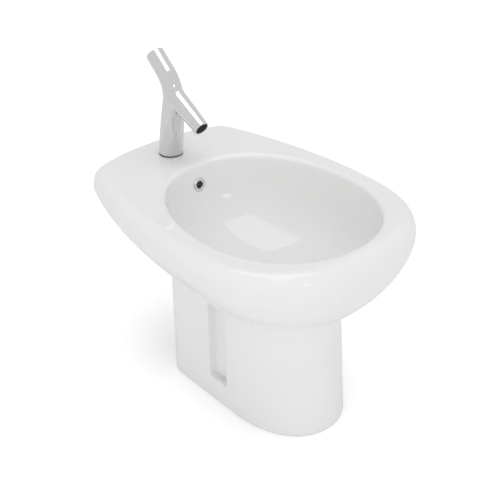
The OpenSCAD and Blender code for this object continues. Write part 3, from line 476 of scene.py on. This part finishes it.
def niche_cutter(side):
    """Recess in the foot's side: its mouth flares out along a quarter circle of radius lip, and
    its back draws in along one of radius fillet."""
    lip, fillet = NICHE_LIP, NICHE_FILLET
    steps = [(-12.0, 0.8 * lip)]
    steps += [(lip * (1 - math.cos(t)), lip * (1 - math.sin(t)))
              for t in np.radians(np.linspace(12, 90, 8))]
    steps += [(d, 0.0) for d in np.linspace(lip, NICHE_D - fillet, 5)[1:-1]]
    steps += [(NICHE_D - fillet * (1 - math.sin(t)), -fillet * (1 - math.cos(t)))
              for t in np.radians(np.linspace(0, 90, 7))]
    rings = []
    for depth, grow in steps:
        outline = niche_outline(grow)
        rings.append(np.column_stack([np.full(len(outline), side * (FOOT_W / 2 - depth)), outline]))
    middle = [NICHE_Y0 + NICHE_W / 2, (NICHE_Z + NICHE_TOP) / 2]
    return outward(loft("cut", rings, [rings[0][0][0], *middle], [rings[-1][0][0], *middle]))


def niche_wall(side):
    """China behind one niche."""
    y0, y1, z1 = NICHE_Y0 - NICHE_WALL, NICHE_Y0 + NICHE_W + NICHE_WALL, NICHE_TOP + NICHE_WALL
    outline = [(y0, NICHE_WALL_Z), (y1, NICHE_WALL_Z), (y1, z1), (y0, z1)]
    return prism(outline, *sorted((side * NICHE_WALL_X0, side * NICHE_WALL_X1)))


def screw_hole(side):
    """Cutter for the floor screw's hole under one niche."""
    return rod(SCREW_R, -PAST, NICHE_Z + PAST, upright(side * SCREW_X, SCREW_Y, 0))


def rear_cutter():
    """Opening in the foot's back and the hull's underside: a plan with two rounded corners,
    kept under a line that follows the underside of the bowl."""
    t = np.radians(np.linspace(0, 90, 13))
    half = REAR_W / 2
    left = np.column_stack([REAR_R - half - REAR_R * np.cos(t),
                            REAR_Y1 - REAR_R + REAR_R * np.sin(t)])
    right = left[::-1] * [-1, 1]
    plan = np.vstack([[[-half, REAR_Y0 - PAST]], left, right, [[half, REAR_Y0 - PAST]]])
    line = bowl_line(REAR_UNDER_BOWL, np.linspace(84, 36, 25))
    side = np.vstack([[[REAR_Y0, -PAST], [REAR_Y1, -PAST], [REAR_Y1, REAR_TOP]], line,
                      [[REAR_Y0, line[-1, 1] - 2 * PAST]]])
    cutter = prism(plan, -2 * PAST, PAN_H - 2 * PAST, axis=2)
    boolean(cutter, prism(side, -REAR_W, REAR_W), "INTERSECT")
    return cutter


def duct(inner, outer, half, top_turn):
    """Band behind the bowl between two distances from its face, over the waste at its low end."""
    turns = np.concatenate([[4.0, 7.0], np.linspace(10, top_turn, 30)])
    upper, lower = bowl_line(inner, turns), bowl_line(outer, turns)
    outline = np.vstack([[[WASTE_Y, upper[0, 1]]], upper, lower[::-1], [[WASTE_Y, lower[0, 1]]]])
    return prism(outline, -half, half)


def waste_seat(place):
    """Cutter for the waste's seat: its flat, and the flare of the bowl's floor down to it."""
    out, flare_z, top = SEAT_R + SEAT_FLARE, SEAT_Z + SEAT_FLARE_H, SEAT_Z + SEAT_CUT_H
    profile = turned([(0, SEAT_Z), (SEAT_R, SEAT_Z, 1.0), (SEAT_R, SEAT_Z + SEAT_H, 3.0),
                      (out, flare_z), (out, top), (0, top)], steps=8)
    return lathe("cut", profile, place, 128)


def finished_pan():
    """The shell with its waste boss, overflow channel and niche walls joined on, and its holes,
    niches and rear opening cut out. A screw's hole is cut in the wall and in the shell before
    they are joined."""
    pan = pan_shell()
    boolean(pan, rear_cutter(), "DIFFERENCE")
    at_waste, at_tap = upright(0, WASTE_Y, 0), upright(0, TAP_Y, 0)
    at_overflow = along(*overflow_place())
    joined = [rod(BOSS_R, BOSS_Z, FLOOR_Z - BOSS_SINK, at_waste, n=96),
              duct(CHINA_T - DUCT_OVERLAP, DUCT_UNDER, DUCT_W / 2 + DUCT_T, DUCT_WALL_END)]
    for side in (-1, 1):
        wall = niche_wall(side)
        for part in (wall, pan):
            boolean(part, screw_hole(side), "DIFFERENCE")
        joined.append(wall)
    for piece in joined:
        boolean(pan, piece, "UNION")
    cut = [duct(DUCT_TOP, DUCT_LOW, DUCT_W / 2, DUCT_END),
           rod(WASTE_HOLE_R, BOSS_Z - PAST, FLOOR_Z + INTO_BOWL, at_waste, n=96),
           waste_seat(at_waste),
           rod(OVERFLOW_R, -(DUCT_TOP + DUCT_LOW) / 2, INTO_MOUTH, at_overflow, n=64),
           rod(OVERFLOW_R + RING_OVER + RING_PLAY, -RING_SINK, INTO_BOWL, at_overflow, n=96),
           rod(TAP_HOLE_R, DECK_UNDER_Z - PAST, PAN_H + PAST, at_tap, n=96),
           niche_cutter(-1), niche_cutter(1)]
    for cutter in cut:
        boolean(pan, cutter, "DIFFERENCE")
    shade(pan, CHINA_CREASE)
    return pan


# ---------------------------------------------------------------- tap: its lines, as (y, z)

def unit(degrees, back, up):
    """Unit direction at an angle from the horizontal: back is 1 or -1 for +Y or -Y, and up is 1
    or -1 for +Z or -Z."""
    t = math.radians(degrees)
    return np.array([back * math.cos(t), up * math.sin(t)])


def across(d):
    """The direction at right angles to d."""
    return np.array([d[1], -d[0]])


TRUNK_R, ARM_R, TAPER_L, LEAN, ARM_RISE, SPOUT_FALL = 22.2, 16.8, 112.0, 8.0, 41.0, 27.5
NECK_L, HANDLE_L, GAP, SEAL_H = 6.0, 35.0, 0.08, 3.2
SPOUT_L, COLLAR_L, SPOUT_ROOT_R, SPOUT_END_R = 86.5, 15.0, 18.0, 13.8
ROOT_SHRINK, ROOT_SHRINK_L, BLEND = 1.6, 9.0, 13.0

# bores as (radius, from, to): in the arm from NECK_START, in the spout from its mouth
NECK_BORE, COLLAR_BORE, WATER_BORE = (12.4, -16.0, 20.0), (10.0, -35.0, -10.0), (5.0, -70.0, -30.0)

TAP_FOOT = np.array([212.8, PAN_H - DISH_DEPTH])
NECK_START, SPOUT_MOUTH = np.array([216.436, 536.698]), np.array([117.819, 460.516])
DIR_TRUNK, DIR_ARM = unit(90 - LEAN, -1, 1), unit(ARM_RISE, 1, 1)
DIR_SPOUT = unit(SPOUT_FALL, -1, -1)
TRUNK_SIDE = across(DIR_TRUNK)

# the bend: an arc that touches the trunk's line and meets the arm's at NECK_START
BEND_TURN = math.radians(90 + LEAN - ARM_RISE)
TO_CORNER, PAST_CORNER = np.linalg.solve(np.column_stack([DIR_TRUNK, -DIR_ARM]),
                                         NECK_START - TAP_FOOT)
TRUNK_L, BEND_R = TO_CORNER + PAST_CORNER, -PAST_CORNER / math.tan(BEND_TURN / 2)
BEND_MID = TAP_FOOT + TRUNK_L * DIR_TRUNK + BEND_R * TRUNK_SIDE

HANDLE_START = NECK_START + (NECK_L + GAP) * DIR_ARM
SPOUT_ROOT = SPOUT_MOUTH - SPOUT_L * DIR_SPOUT
FIXED_SPOUT_L = SPOUT_L - COLLAR_L - GAP


# ---------------------------------------------------------------- tap: its body

def trunk_radius(s):
    """Wide at the deck, easing to the arm's radius along the bend: arm + (trunk - arm)
    exp(-(s / taper)^3)."""
    return ARM_R + (TRUNK_R - ARM_R) * np.exp(-(np.maximum(s, 0) / TAPER_L) ** 3)


def spout_radius(s):
    """Straight taper from the spout's root to its mouth."""
    return SPOUT_ROOT_R + (SPOUT_END_R - SPOUT_ROOT_R) * s / SPOUT_L


def trunk_field(p):
    """Distance outside the trunk, bend and arm: distance from their centre line in the X = 0
    plane, less the radius there."""
    q = p[:, 1:]
    s = (q - TAP_FOOT) @ DIR_TRUNK
    off_trunk = (q - TAP_FOOT) @ TRUNK_SIDE
    v = q - BEND_MID
    turn = np.arctan2(v @ DIR_TRUNK, -v @ TRUNK_SIDE)
    on_bend = (s > TRUNK_L) & (turn < BEND_TURN)
    on_arm = (s > TRUNK_L) & ~on_bend
    past = (q - NECK_START) @ DIR_ARM
    off_arm = (q - NECK_START) @ across(DIR_ARM)
    length = np.where(on_bend, TRUNK_L + BEND_R * turn,
                      np.where(on_arm, TRUNK_L + BEND_R * BEND_TURN + past, s))
    off_bend = BEND_R - np.hypot(v[:, 0], v[:, 1])
    off = np.where(on_bend, off_bend, np.where(on_arm, off_arm, off_trunk))
    return np.hypot(p[:, 0], off) - trunk_radius(length)


def spout_field(p):
    """Distance outside the spout, a cone with a round root inside the bend, drawn in there by
    shrink exp(-s / length)."""
    q = p[:, 1:] - SPOUT_ROOT
    s = q @ DIR_SPOUT
    off = q @ across(DIR_SPOUT)
    root = np.minimum(s, 0)
    shrink = ROOT_SHRINK * np.exp(-np.maximum(s, 0) / ROOT_SHRINK_L)
    return np.sqrt(p[:, 0] ** 2 + off ** 2 + root ** 2) - (spout_radius(np.maximum(s, 0)) - shrink)


def gradient(f, p):
    """Slope of a field at each point, from its values a little to either side."""
    h = 0.02
    g = np.empty_like(p)
    for i in range(3):
        d = np.zeros(3)
        d[i] = h
        g[:, i] = (f(p + d) - f(p - d)) / (2 * h)
    return g


def tap_field(p):
    """Soft minimum of the two distances, min - (k - |a - b|)^2 / 4k, with k the blend length
    times one less the square of the cosine between the two surfaces."""
    a, b = trunk_field(p), spout_field(p)
    ga, gb = gradient(trunk_field, p), gradient(spout_field, p)
    k = BLEND * (1 - np.clip((ga * gb).sum(1), -1, 1) ** 2) + 1e-6
    h = np.maximum(k - np.abs(a - b), 0)
    return np.minimum(a, b) - h * h / (4 * k)


def capped(field, ends):
    """The field with each end closed by a plane, given as (point, direction)."""
    def f(p):
        d = field(p)
        for at, direction in ends:
            d = np.maximum(d, (p[:, 1:] - at) @ direction)
        return d
    return f


def tube(name, centres, tangents, radii):
    """Closed tube round a centre line."""
    n = 48
    a = np.linspace(0, 2 * math.pi, n, endpoint=False)
    side = np.column_stack([tangents[:, 1], -tangents[:, 0]])
    rings = np.empty((len(centres), n, 3))
    rings[:, :, 0] = radii[:, None] * np.cos(a)
    rings[:, :, 1:] = centres[:, None] + (radii[:, None] * np.sin(a))[:, :, None] * side[:, None]
    return outward(loft(name, rings, [0, *centres[0]], [0, *centres[-1]]))


def settle(obj, field):
    """Moves every vertex to the surface field = 0 by Newton steps. Before each of the first
    steps it goes part of the way to the middle of its neighbours, which evens the spacing."""
    rounds, evened, evening, longest, least_slope = 6, 3, 0.6, 1.5, 0.05
    mesh = obj.data
    co = np.empty(len(mesh.vertices) * 3)
    mesh.vertices.foreach_get("co", co)
    p = co.reshape(-1, 3) / MM
    pairs = np.empty(len(mesh.edges) * 2, int)
    mesh.edges.foreach_get("vertices", pairs)
    e = pairs.reshape(-1, 2)
    count = np.bincount(e.ravel(), minlength=len(p))[:, None]
    for i in range(rounds):
        if i < evened:
            total = np.zeros_like(p)
            for c in range(3):
                total[:, c] = (np.bincount(e[:, 0], p[e[:, 1], c], len(p))
                               + np.bincount(e[:, 1], p[e[:, 0], c], len(p)))
            p = p + evening * (total / count - p)
        g = gradient(field, p)
        step = field(p)[:, None] * g / np.maximum((g * g).sum(1), least_slope)[:, None]
        p = p - np.clip(step, -longest, longest)
    mesh.vertices.foreach_set("co", (p * MM).ravel())
    mesh.update()


def half_space(at, direction):
    """Block beyond a plane, for cutting."""
    c = 60.0
    box = np.array([[x, y, z] for z in (0, c) for y in (-c, c) for x in (-c, c)], float)
    faces = [(0, 1, 3, 2), (4, 6, 7, 5), (0, 4, 5, 1), (2, 3, 7, 6), (0, 2, 6, 4), (1, 5, 7, 3)]
    return outward(make_piece("cut", along(at, direction)(box), faces))


def tap_body():
    """Trunk, bend, arm and spout in one blended surface: two tubes are joined, remeshed, and
    settled on the blended field; then the ends and bores are cut."""
    over, pitch, turn_pitch, root_l, root_in, voxel = 7.0, 3.0, 0.04, 5.0, 1.5, 1.15
    s = np.arange(-over, TRUNK_L, pitch)[:, None]
    trunk = TAP_FOOT + s * DIR_TRUNK
    t = np.arange(0, BEND_TURN, turn_pitch)[:, None]
    bend = BEND_MID + BEND_R * (np.sin(t) * DIR_TRUNK - np.cos(t) * TRUNK_SIDE)
    bend_run = np.sin(t) * TRUNK_SIDE + np.cos(t) * DIR_TRUNK
    u = np.arange(0, NECK_L + over, pitch)[:, None]
    neck = NECK_START + u * DIR_ARM
    runs = np.vstack([np.repeat(DIR_TRUNK[None], len(s), 0), bend_run,
                      np.repeat(DIR_ARM[None], len(u), 0)])
    length = np.concatenate([s[:, 0], TRUNK_L + BEND_R * t[:, 0],
                             TRUNK_L + BEND_R * BEND_TURN + u[:, 0]])
    body = tube("tap_casting", np.vstack([trunk, bend, neck]), runs, trunk_radius(length))
    v = np.arange(0, FIXED_SPOUT_L + over, pitch)
    spout = tube("cut", SPOUT_ROOT + v[:, None] * DIR_SPOUT,
                 np.repeat(DIR_SPOUT[None], len(v), 0), spout_radius(v) - root_in * (v < root_l))
    boolean(body, spout, "UNION")
    mod = body.modifiers.new("even", "REMESH")
    mod.mode, mod.voxel_size = "VOXEL", voxel * MM
    bake(body)
    settle(body, capped(tap_field, [
        (TAP_FOOT - over * DIR_TRUNK, -DIR_TRUNK),
        (NECK_START + (NECK_L + over) * DIR_ARM, DIR_ARM),
        (SPOUT_ROOT + (FIXED_SPOUT_L + over) * DIR_SPOUT, DIR_SPOUT)]))
    at_neck, at_mouth = along(NECK_START, DIR_ARM), along(SPOUT_MOUTH, DIR_SPOUT)
    for cutter in (half_space(TAP_FOOT + [0, SEAL_H], np.array([0.0, -1.0])),
                   half_space(NECK_START + NECK_L * DIR_ARM, DIR_ARM),
                   half_space(SPOUT_ROOT + FIXED_SPOUT_L * DIR_SPOUT, DIR_SPOUT),
                   rod(*NECK_BORE, at_neck), rod(*COLLAR_BORE, at_mouth),
                   rod(*WATER_BORE, at_mouth)):
        boolean(body, cutter, "DIFFERENCE")
    shade(outward(body), TAP_CREASE)
    return body


# ---------------------------------------------------------------- pieces of the tap and waste

def handle():
    """Hollow end of the upper arm: a turned cap with a hub for the spindle and a grub hole."""
    spindle_r, spindle_end, inside_r, hub_z, grub_r, grub_z = 4.02, 28.0, 14.4, 16.0, 2.1, 22.0
    profile = turned([(0, spindle_end), (spindle_r, spindle_end), (spindle_r, hub_z, 0.6),
                      (inside_r, hub_z, 1.0), (inside_r, 0, 0.2), (ARM_R, 0, 0.12),
                      (ARM_R, HANDLE_L, 2.5), (0, HANDLE_L)], steps=10)
    place = along(HANDLE_START, DIR_ARM)
    obj = lathe("arm_handle", profile, place, 128)
    hole = rod(grub_r, 0.0, ARM_R + PAST, lambda p: place(sideways(p) + [0, 0, grub_z]), n=32)
    boolean(obj, hole, "DIFFERENCE")
    shade(obj, TAP_CREASE)
    return obj


def sideways(p):
    """Turns a piece that stands on +Z to lie along +Y."""
    p = np.asarray(p, float)
    return p[..., [0, 2, 1]] * [1, 1, -1]


def collar():
    """Mouth of the spout: a turned ring with a thin rounded rim round its dark bore."""
    root_r, bore_r, mouth_r, mouth_z = spout_radius(SPOUT_L - COLLAR_L), 9.96, 11.5, -9.0
    profile = turned([(bore_r, -COLLAR_L), (root_r, -COLLAR_L, 0.12), (SPOUT_END_R, 0, 0.8),
                      (mouth_r, 0, 0.5), (mouth_r, mouth_z, 0.3), (bore_r, mouth_z, 0.2),
                      (bore_r, -COLLAR_L)], steps=6)
    return lathe("spout_collar", profile, along(SPOUT_MOUTH, DIR_SPOUT), 128, ring=True)


def trim_ring():
    """Trim ring of the overflow: a domed flange round the bore, with its sleeve."""
    bore, sleeve, out, sleeve_end = 7.0, OVERFLOW_R - 0.1, OVERFLOW_R + RING_OVER, -10.0
    profile = turned([(bore, sleeve_end), (sleeve, sleeve_end, 0.3), (sleeve, -RING_SINK),
                      (out, -RING_SINK, 0.2), (out, 0.9, 0.8), (9.6, 2.3, 2.6), (bore, 1.6, 0.8),
                      (bore, sleeve_end)], steps=8)
    return lathe("overflow_trim", profile, along(*overflow_place()), 128, ring=True)


def base_seal():
    """Dark seal between the tap and the dished deck, a hair narrower than the trunk and sunk a
    little into the deck."""
    low, high, bore, out = TAP_FOOT[1] - 1.5, TAP_FOOT[1] + SEAL_H, 15.0, TRUNK_R - 0.2
    profile = turned([(bore, low), (out, low, 0.3), (out, high, 0.4), (bore, high, 0.3),
                      (bore, low)])
    return lathe("tap_seal", profile, upright(0, TAP_FOOT[0], 0), 128, ring=True)


def screw_caps():
    """White push-in caps over the two floor screw holes in the niches: a low dome on its shank."""
    shank_r, shank_l, cap_r, rest = 4.3, 20.0, 6.6, 0.05
    profile = turned([(0, -shank_l), (shank_r, -shank_l, 0.5), (shank_r, rest), (cap_r, rest, 0.2),
                      (cap_r, 1.4, 1.0), (3.0, 3.2, 3.0), (0, 3.4)], steps=8)
    left, right = (lathe("screw_caps", profile, upright(side * SCREW_X, SCREW_Y, NICHE_Z), 64)
                   for side in (-1, 1))
    boolean(left, right, "UNION")
    shade(left, CHINA_CREASE)
    return left


def plug():
    """Plug with a low dome, height edge + rise sqrt(1 - (r / cap)^2), over its skirt and stem."""
    cap, edge, rise, skirt, groove, stem = 26.5, 1.4, 4.6, 15.75, 14.55, 4.0
    skirt_z, groove_low, groove_high, stem_z, rest_z = -9.0, -6.6, -4.2, -45.8, 242.4
    t = np.linspace(0, math.pi / 2, 28)
    dome = np.column_stack([cap * np.cos(t), edge + rise * np.sin(t)])
    low = turned([(0, stem_z), (stem, stem_z, 0.6), (stem, skirt_z, 0.4), (skirt, skirt_z, 0.3),
                  (skirt, groove_low, 0.1), (groove, groove_low, 0.1), (groove, groove_high, 0.1),
                  (skirt, groove_high, 0.1), (skirt, 0, 0.3), (cap, 0, 0.6), (cap, edge)], steps=4)
    return lathe("drain_plug", np.vstack([low, dome[1:]]), upright(0, WASTE_Y, rest_z), 128)


# ---------------------------------------------------------------- materials

MIX_A, MIX_B, MIX_RESULT = 6, 7, 2    # the Mix node's colour sockets


def group(name, inputs, outputs):
    """Shader node group: inputs as name -> default value, outputs as name -> socket type."""
    tree = bpy.data.node_groups.new(name, "ShaderNodeTree")
    for key, value in inputs.items():
        kind = "NodeSocketColor" if isinstance(value, tuple) else "NodeSocketFloat"
        tree.interface.new_socket(name=key, in_out="INPUT", socket_type=kind).default_value = value
    for key, kind in outputs.items():
        tree.interface.new_socket(name=key, in_out="OUTPUT", socket_type=kind)
    return tree, tree.nodes.new("NodeGroupInput"), tree.nodes.new("NodeGroupOutput")


def node(tree, kind, values=None, **settings):
    """A node with settings and socket values; a value that is a socket is linked."""
    n = tree.nodes.new(kind)
    for key, value in settings.items():
        setattr(n, key, value)
    for key, value in (values or {}).items():
        if isinstance(value, bpy.types.NodeSocket):
            tree.links.new(value, n.inputs[key])
        else:
            n.inputs[key].default_value = value
    return n


def math_node(tree, operation, *values):
    """Result of a Math node."""
    return node(tree, "ShaderNodeMath", dict(enumerate(values)), operation=operation).outputs[0]


def waves_group():
    """Slow unevenness of a poured or polished surface: bump from broad noise on Object
    coordinates, in waves of the given length in metres and of the given height."""
    tree, i, o = group("slow_waves", {"Length": 0.05, "Height": 0.0002},
                       {"Normal": "NodeSocketVector"})
    at = node(tree, "ShaderNodeTexCoord").outputs["Object"]
    scale = math_node(tree, "DIVIDE", 1.0, i.outputs["Length"])
    noise = node(tree, "ShaderNodeTexNoise", {"Vector": at, "Scale": scale, "Detail": 1.5,
                                              "Roughness": 0.4})
    height = math_node(tree, "MULTIPLY", noise.outputs["Fac"], i.outputs["Height"])
    bump = node(tree, "ShaderNodeBump", {"Height": height, "Distance": 1.0, "Strength": 1.0})
    tree.links.new(bump.outputs["Normal"], o.inputs["Normal"])
    return tree


def film_group():
    """Thin film of wipe marks and dried water: stretched noise times patchy noise, 0 to 1."""
    tree, i, o = group("wiped_film", {"Size": 0.03, "Amount": 0.5}, {"Mask": "NodeSocketFloat"})
    at = node(tree, "ShaderNodeTexCoord").outputs["Object"]
    scale = math_node(tree, "DIVIDE", 1.0, i.outputs["Size"])
    turned_at = node(tree, "ShaderNodeMapping", {"Vector": at, "Rotation": (0.5, 0.3, 0.9),
                                                 "Scale": (1.0, 1.0, 0.22)}).outputs[0]
    streak = node(tree, "ShaderNodeTexNoise", {"Vector": turned_at, "Scale": scale, "Detail": 4.0,
                                               "Roughness": 0.6})
    patch = node(tree, "ShaderNodeTexNoise", {"Vector": at, "Scale": 9.0, "Detail": 2.0})
    both = math_node(tree, "MULTIPLY", streak.outputs["Fac"], patch.outputs["Fac"])
    spread = node(tree, "ShaderNodeMapRange", {"Value": both, "From Min": 0.17, "From Max": 0.36})
    out = math_node(tree, "MULTIPLY", spread.outputs[0], i.outputs["Amount"])
    tree.links.new(out, o.inputs["Mask"])
    return tree


def tint_group():
    """Colour that drifts a little between two tones over patches of the given size."""
    tree, i, o = group("tone_drift", {"Tone A": (0.9, 0.9, 0.9, 1.0),
                                      "Tone B": (0.8, 0.8, 0.8, 1.0), "Size": 0.1},
                       {"Color": "NodeSocketColor"})
    at = node(tree, "ShaderNodeTexCoord").outputs["Object"]
    scale = math_node(tree, "DIVIDE", 1.0, i.outputs["Size"])
    noise = node(tree, "ShaderNodeTexNoise", {"Vector": at, "Scale": scale, "Detail": 2.0})
    mix = node(tree, "ShaderNodeMix", {"Factor": noise.outputs["Fac"], MIX_A: i.outputs["Tone A"],
                                       MIX_B: i.outputs["Tone B"]}, data_type="RGBA")
    tree.links.new(mix.outputs[MIX_RESULT], o.inputs["Color"])
    return tree


GROUPS = {"waves": waves_group(), "film": film_group(), "tint": tint_group()}


def effect(tree, name, **values):
    """One of the node groups, placed in a material with its own values."""
    n = tree.nodes.new("ShaderNodeGroup")
    n.node_tree = GROUPS[name]
    for key, value in values.items():
        n.inputs[key.replace("_", " ")].default_value = value
    return n


def finish_material(name, tones, patch, rough, wave, film=(0.03, 1.0), **sockets):
    """Material whose tone drifts between two over patches of a size in metres, whose roughness
    goes from its first value to its second where the film lies, and whose surface has slow
    waves of a length and height. The film has a size and an amount, and sockets go straight
    onto the Principled shader."""
    m = bpy.data.materials.new(name)
    m.use_nodes = True
    tree = m.node_tree
    bsdf = tree.nodes["Principled BSDF"]
    for key, value in sockets.items():
        bsdf.inputs[key.replace("_", " ")].default_value = value
    tint = effect(tree, "tint", Tone_A=(*tones[0], 1.0), Tone_B=(*tones[1], 1.0), Size=patch)
    tree.links.new(tint.outputs["Color"], bsdf.inputs["Base Color"])
    marks = effect(tree, "film", Size=film[0], Amount=film[1])
    roughness = node(tree, "ShaderNodeMapRange", {"Value": marks.outputs["Mask"],
                                                  "To Min": rough[0], "To Max": rough[1]})
    tree.links.new(roughness.outputs[0], bsdf.inputs["Roughness"])
    waves = effect(tree, "waves", Length=wave[0], Height=wave[1])
    tree.links.new(waves.outputs["Normal"], bsdf.inputs["Normal"])
    return m


MATERIALS = {
    "china": finish_material(
        "china_glaze", [(0.90, 0.90, 0.895), (0.87, 0.872, 0.868)], patch=0.16,
        rough=(0.03, 0.06), wave=(0.08, 0.00008), film=(0.05, 0.6), IOR=1.52),
    "chrome": finish_material(
        "chrome_plate", [(0.735, 0.738, 0.744), (0.71, 0.714, 0.72)], patch=0.05,
        rough=(0.03, 0.06), wave=(0.04, 0.000004), Metallic=1.0),
    "brass": finish_material(
        "bare_brass", [(0.68, 0.50, 0.24), (0.52, 0.36, 0.16)], patch=0.012,
        rough=(0.24, 0.42), wave=(0.004, 0.00002), Metallic=1.0),
    "rubber": finish_material(
        "black_rubber", [(0.028, 0.028, 0.03), (0.05, 0.05, 0.052)], patch=0.01,
        rough=(0.55, 0.72), wave=(0.003, 0.00003)),
    "white_plastic": finish_material(
        "white_nylon", [(0.84, 0.84, 0.82), (0.78, 0.78, 0.75)], patch=0.02,
        rough=(0.35, 0.5), wave=(0.006, 0.00002), Subsurface_Weight=0.1),
    # Near-black plastic: partly the plastic's own dark tone, partly painted shade, so that the
    # spout's mouth round the outlet insert reads dark.
    "grey_plastic": finish_material(
        "acetal_with_painted_mouth_shade", [(0.025, 0.026, 0.027), (0.016, 0.017, 0.018)], patch=0.01,
        rough=(0.5, 0.65), wave=(0.004, 0.00002), Specular_IOR_Level=0.2),
    "steel": finish_material(
        "zinc_plated_steel", [(0.50, 0.51, 0.53), (0.40, 0.41, 0.44)], patch=0.008,
        rough=(0.28, 0.45), wave=(0.003, 0.00002), Metallic=1.0),
}


# ---------------------------------------------------------------- the pieces

def add(obj, slot, body, *nodes):
    """Finishes a new piece: its material, the nodes it stands for and the body it rides on."""
    obj.data.materials.clear()
    obj.data.materials.append(MATERIALS[slot])
    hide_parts(*nodes)
    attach(obj, body)


add(finished_pan(), "china", "fixed", "pan_bowl", "pan_shell")
add(tap_body(), "chrome", "fixed", "tap_body")
add(handle(), "chrome", "temp_control", "temp_handle")
add(collar(), "chrome", "flow_control", "flow_collar")
add(trim_ring(), "chrome", "fixed", "overflow_ring")
add(plug(), "chrome", "plug", "waste_plug")
add(base_seal(), "rubber", "fixed", "tap_base_ring")
add(screw_caps(), "white_plastic", "fixed", "fixing_bushes")

for part in frame["record"]["subparts"]:
    cad = frame["nodes"][part["node"]]
    if not cad.hide_render:
        for s in cad.material_slots:
            s.material = MATERIALS[part["material_slot"]]


# ---------------------------------------------------------------- camera and light

AZIMUTH, ELEVATION, ROLL, DISTANCE = -40.904, 31.359, -0.228, 1.6908
LENS, SENSOR_W, LOOK_AT = 69.44, 36.0, np.array([-0.21, -8.82, 272.5])
HORIZON_LIGHT, ZENITH_LIGHT, GLOSS_SEES = 0.95, 0.41, 0.80
FLOOR_HALF, FLOOR_TONE, FLOOR_SEEN = 6000.0, 0.95, 1.35
LAMP_DISTANCE, LAMP_AIM = 8.0, Vector((0, 0, 350)) * MM


def camera():
    """The photograph's view, from azimuth 40.9 degrees on the -X side of the front and 31.4
    degrees up, 1.69 m from the middle."""
    az, el, roll = map(math.radians, (AZIMUTH, ELEVATION, ROLL))
    back = np.array([math.sin(az) * math.cos(el), -math.cos(az) * math.cos(el), math.sin(el)])
    right = np.array([math.cos(az), math.sin(az), 0.0])
    up = np.cross(back, right)
    right, up = (right * math.cos(roll) + up * math.sin(roll),
                 up * math.cos(roll) - right * math.sin(roll))
    place = LOOK_AT * MM + back * DISTANCE
    data = bpy.data.cameras.new("camera")
    data.lens, data.sensor_width = LENS, SENSOR_W
    data.clip_start, data.clip_end = 0.1, 50.0
    obj = bpy.data.objects.new("camera", data)
    bpy.context.scene.collection.objects.link(obj)
    m = Matrix.Identity(4)
    for i in range(3):
        m[i][0], m[i][1], m[i][2], m[i][3] = right[i], up[i], back[i], place[i]
    obj.matrix_world = m
    bpy.context.scene.camera = obj


def seen(tree):
    """Two masks: rays from the camera or through glass, and rays off gloss."""
    path = node(tree, "ShaderNodeLightPath")
    direct = math_node(tree, "MAXIMUM", path.outputs["Is Camera Ray"],
                       path.outputs["Is Transmission Ray"])
    return direct, path.outputs["Is Glossy Ray"]


def studio_floor():
    """Plain pale floor. Seen directly it is lifted to white, but keeps the object's shadow; all
    else sees its own tone."""
    h = FLOOR_HALF
    obj = make_piece("studio_floor", [(-h, -h, 0), (h, -h, 0), (h, h, 0), (-h, h, 0)],
                     [(0, 1, 2, 3)], smooth=False)
    m = bpy.data.materials.new("floor_paper")
    m.use_nodes = True
    tree = m.node_tree
    tree.nodes.remove(tree.nodes["Principled BSDF"])
    direct, _ = seen(tree)
    tone = node(tree, "ShaderNodeMapRange", {"Value": direct, "To Min": FLOOR_TONE,
                                             "To Max": FLOOR_SEEN}).outputs[0]
    colour = node(tree, "ShaderNodeCombineColor", {"Red": tone, "Green": tone, "Blue": tone})
    paper = node(tree, "ShaderNodeBsdfDiffuse", {"Color": colour.outputs[0]})
    tree.links.new(paper.outputs[0], tree.nodes["Material Output"].inputs["Surface"])
    obj.data.materials.append(m)


def studio_world():
    """Pale surroundings. They light the object from HORIZON_LIGHT at the horizon down to
    ZENITH_LIGHT overhead, and look white themselves, a little off white in the gloss."""
    world = bpy.data.worlds.new("studio")
    bpy.context.scene.world = world
    world.use_nodes = True
    tree = world.node_tree
    height = node(tree, "ShaderNodeSeparateXYZ",
                  {"Vector": node(tree, "ShaderNodeTexCoord").outputs["Generated"]}).outputs["Z"]
    lit = node(tree, "ShaderNodeMapRange", {"Value": height, "To Min": HORIZON_LIGHT,
                                            "To Max": ZENITH_LIGHT}).outputs[0]
    direct, gloss = seen(tree)
    shown = math_node(tree, "MAXIMUM", math_node(tree, "MULTIPLY", gloss, GLOSS_SEES), direct)
    other = math_node(tree, "SUBTRACT", 1.0, math_node(tree, "MAXIMUM", direct, gloss))
    strength = math_node(tree, "MULTIPLY_ADD", lit, other, shown)
    back = tree.nodes["Background"]
    back.inputs["Color"].default_value = (1, 1, 1, 1)
    tree.links.new(strength, back.inputs["Strength"])


def softbox(name, direction, wide, high, glow, in_gloss=True):
    """Rectangular lamp far off in a direction, so wide and high in degrees, facing the object
    with a radiance of glow; its power is glow times its area times pi. Polished faces show it
    where in_gloss is true."""
    width, height = (2 * LAMP_DISTANCE * math.tan(math.radians(a / 2)) for a in (wide, high))
    data = bpy.data.lights.new(name, "AREA")
    data.shape, data.size, data.size_y = "RECTANGLE", width, height
    data.energy = glow * width * height * math.pi
    obj = bpy.data.objects.new(name, data)
    bpy.context.scene.collection.objects.link(obj)
    d = Vector(direction).normalized()
    turn = d.to_track_quat("Z", "Y").to_matrix().to_4x4()
    obj.matrix_world = Matrix.Translation(LAMP_AIM + d * LAMP_DISTANCE) @ turn
    obj.visible_glossy = in_gloss


camera()
bpy.context.scene.view_settings.view_transform = "Standard"
studio_floor()
studio_world()
softbox("overhead_lamp", (0.03, 0.0, 1.0), wide=53, high=39, glow=1.35)
softbox("front_lamp", (-0.05, -0.93, 0.36), wide=12, high=6, glow=2.4)
softbox("fill_lamp", (-0.66, -0.62, 0.42), wide=60, high=50, glow=0.5, in_gloss=False)
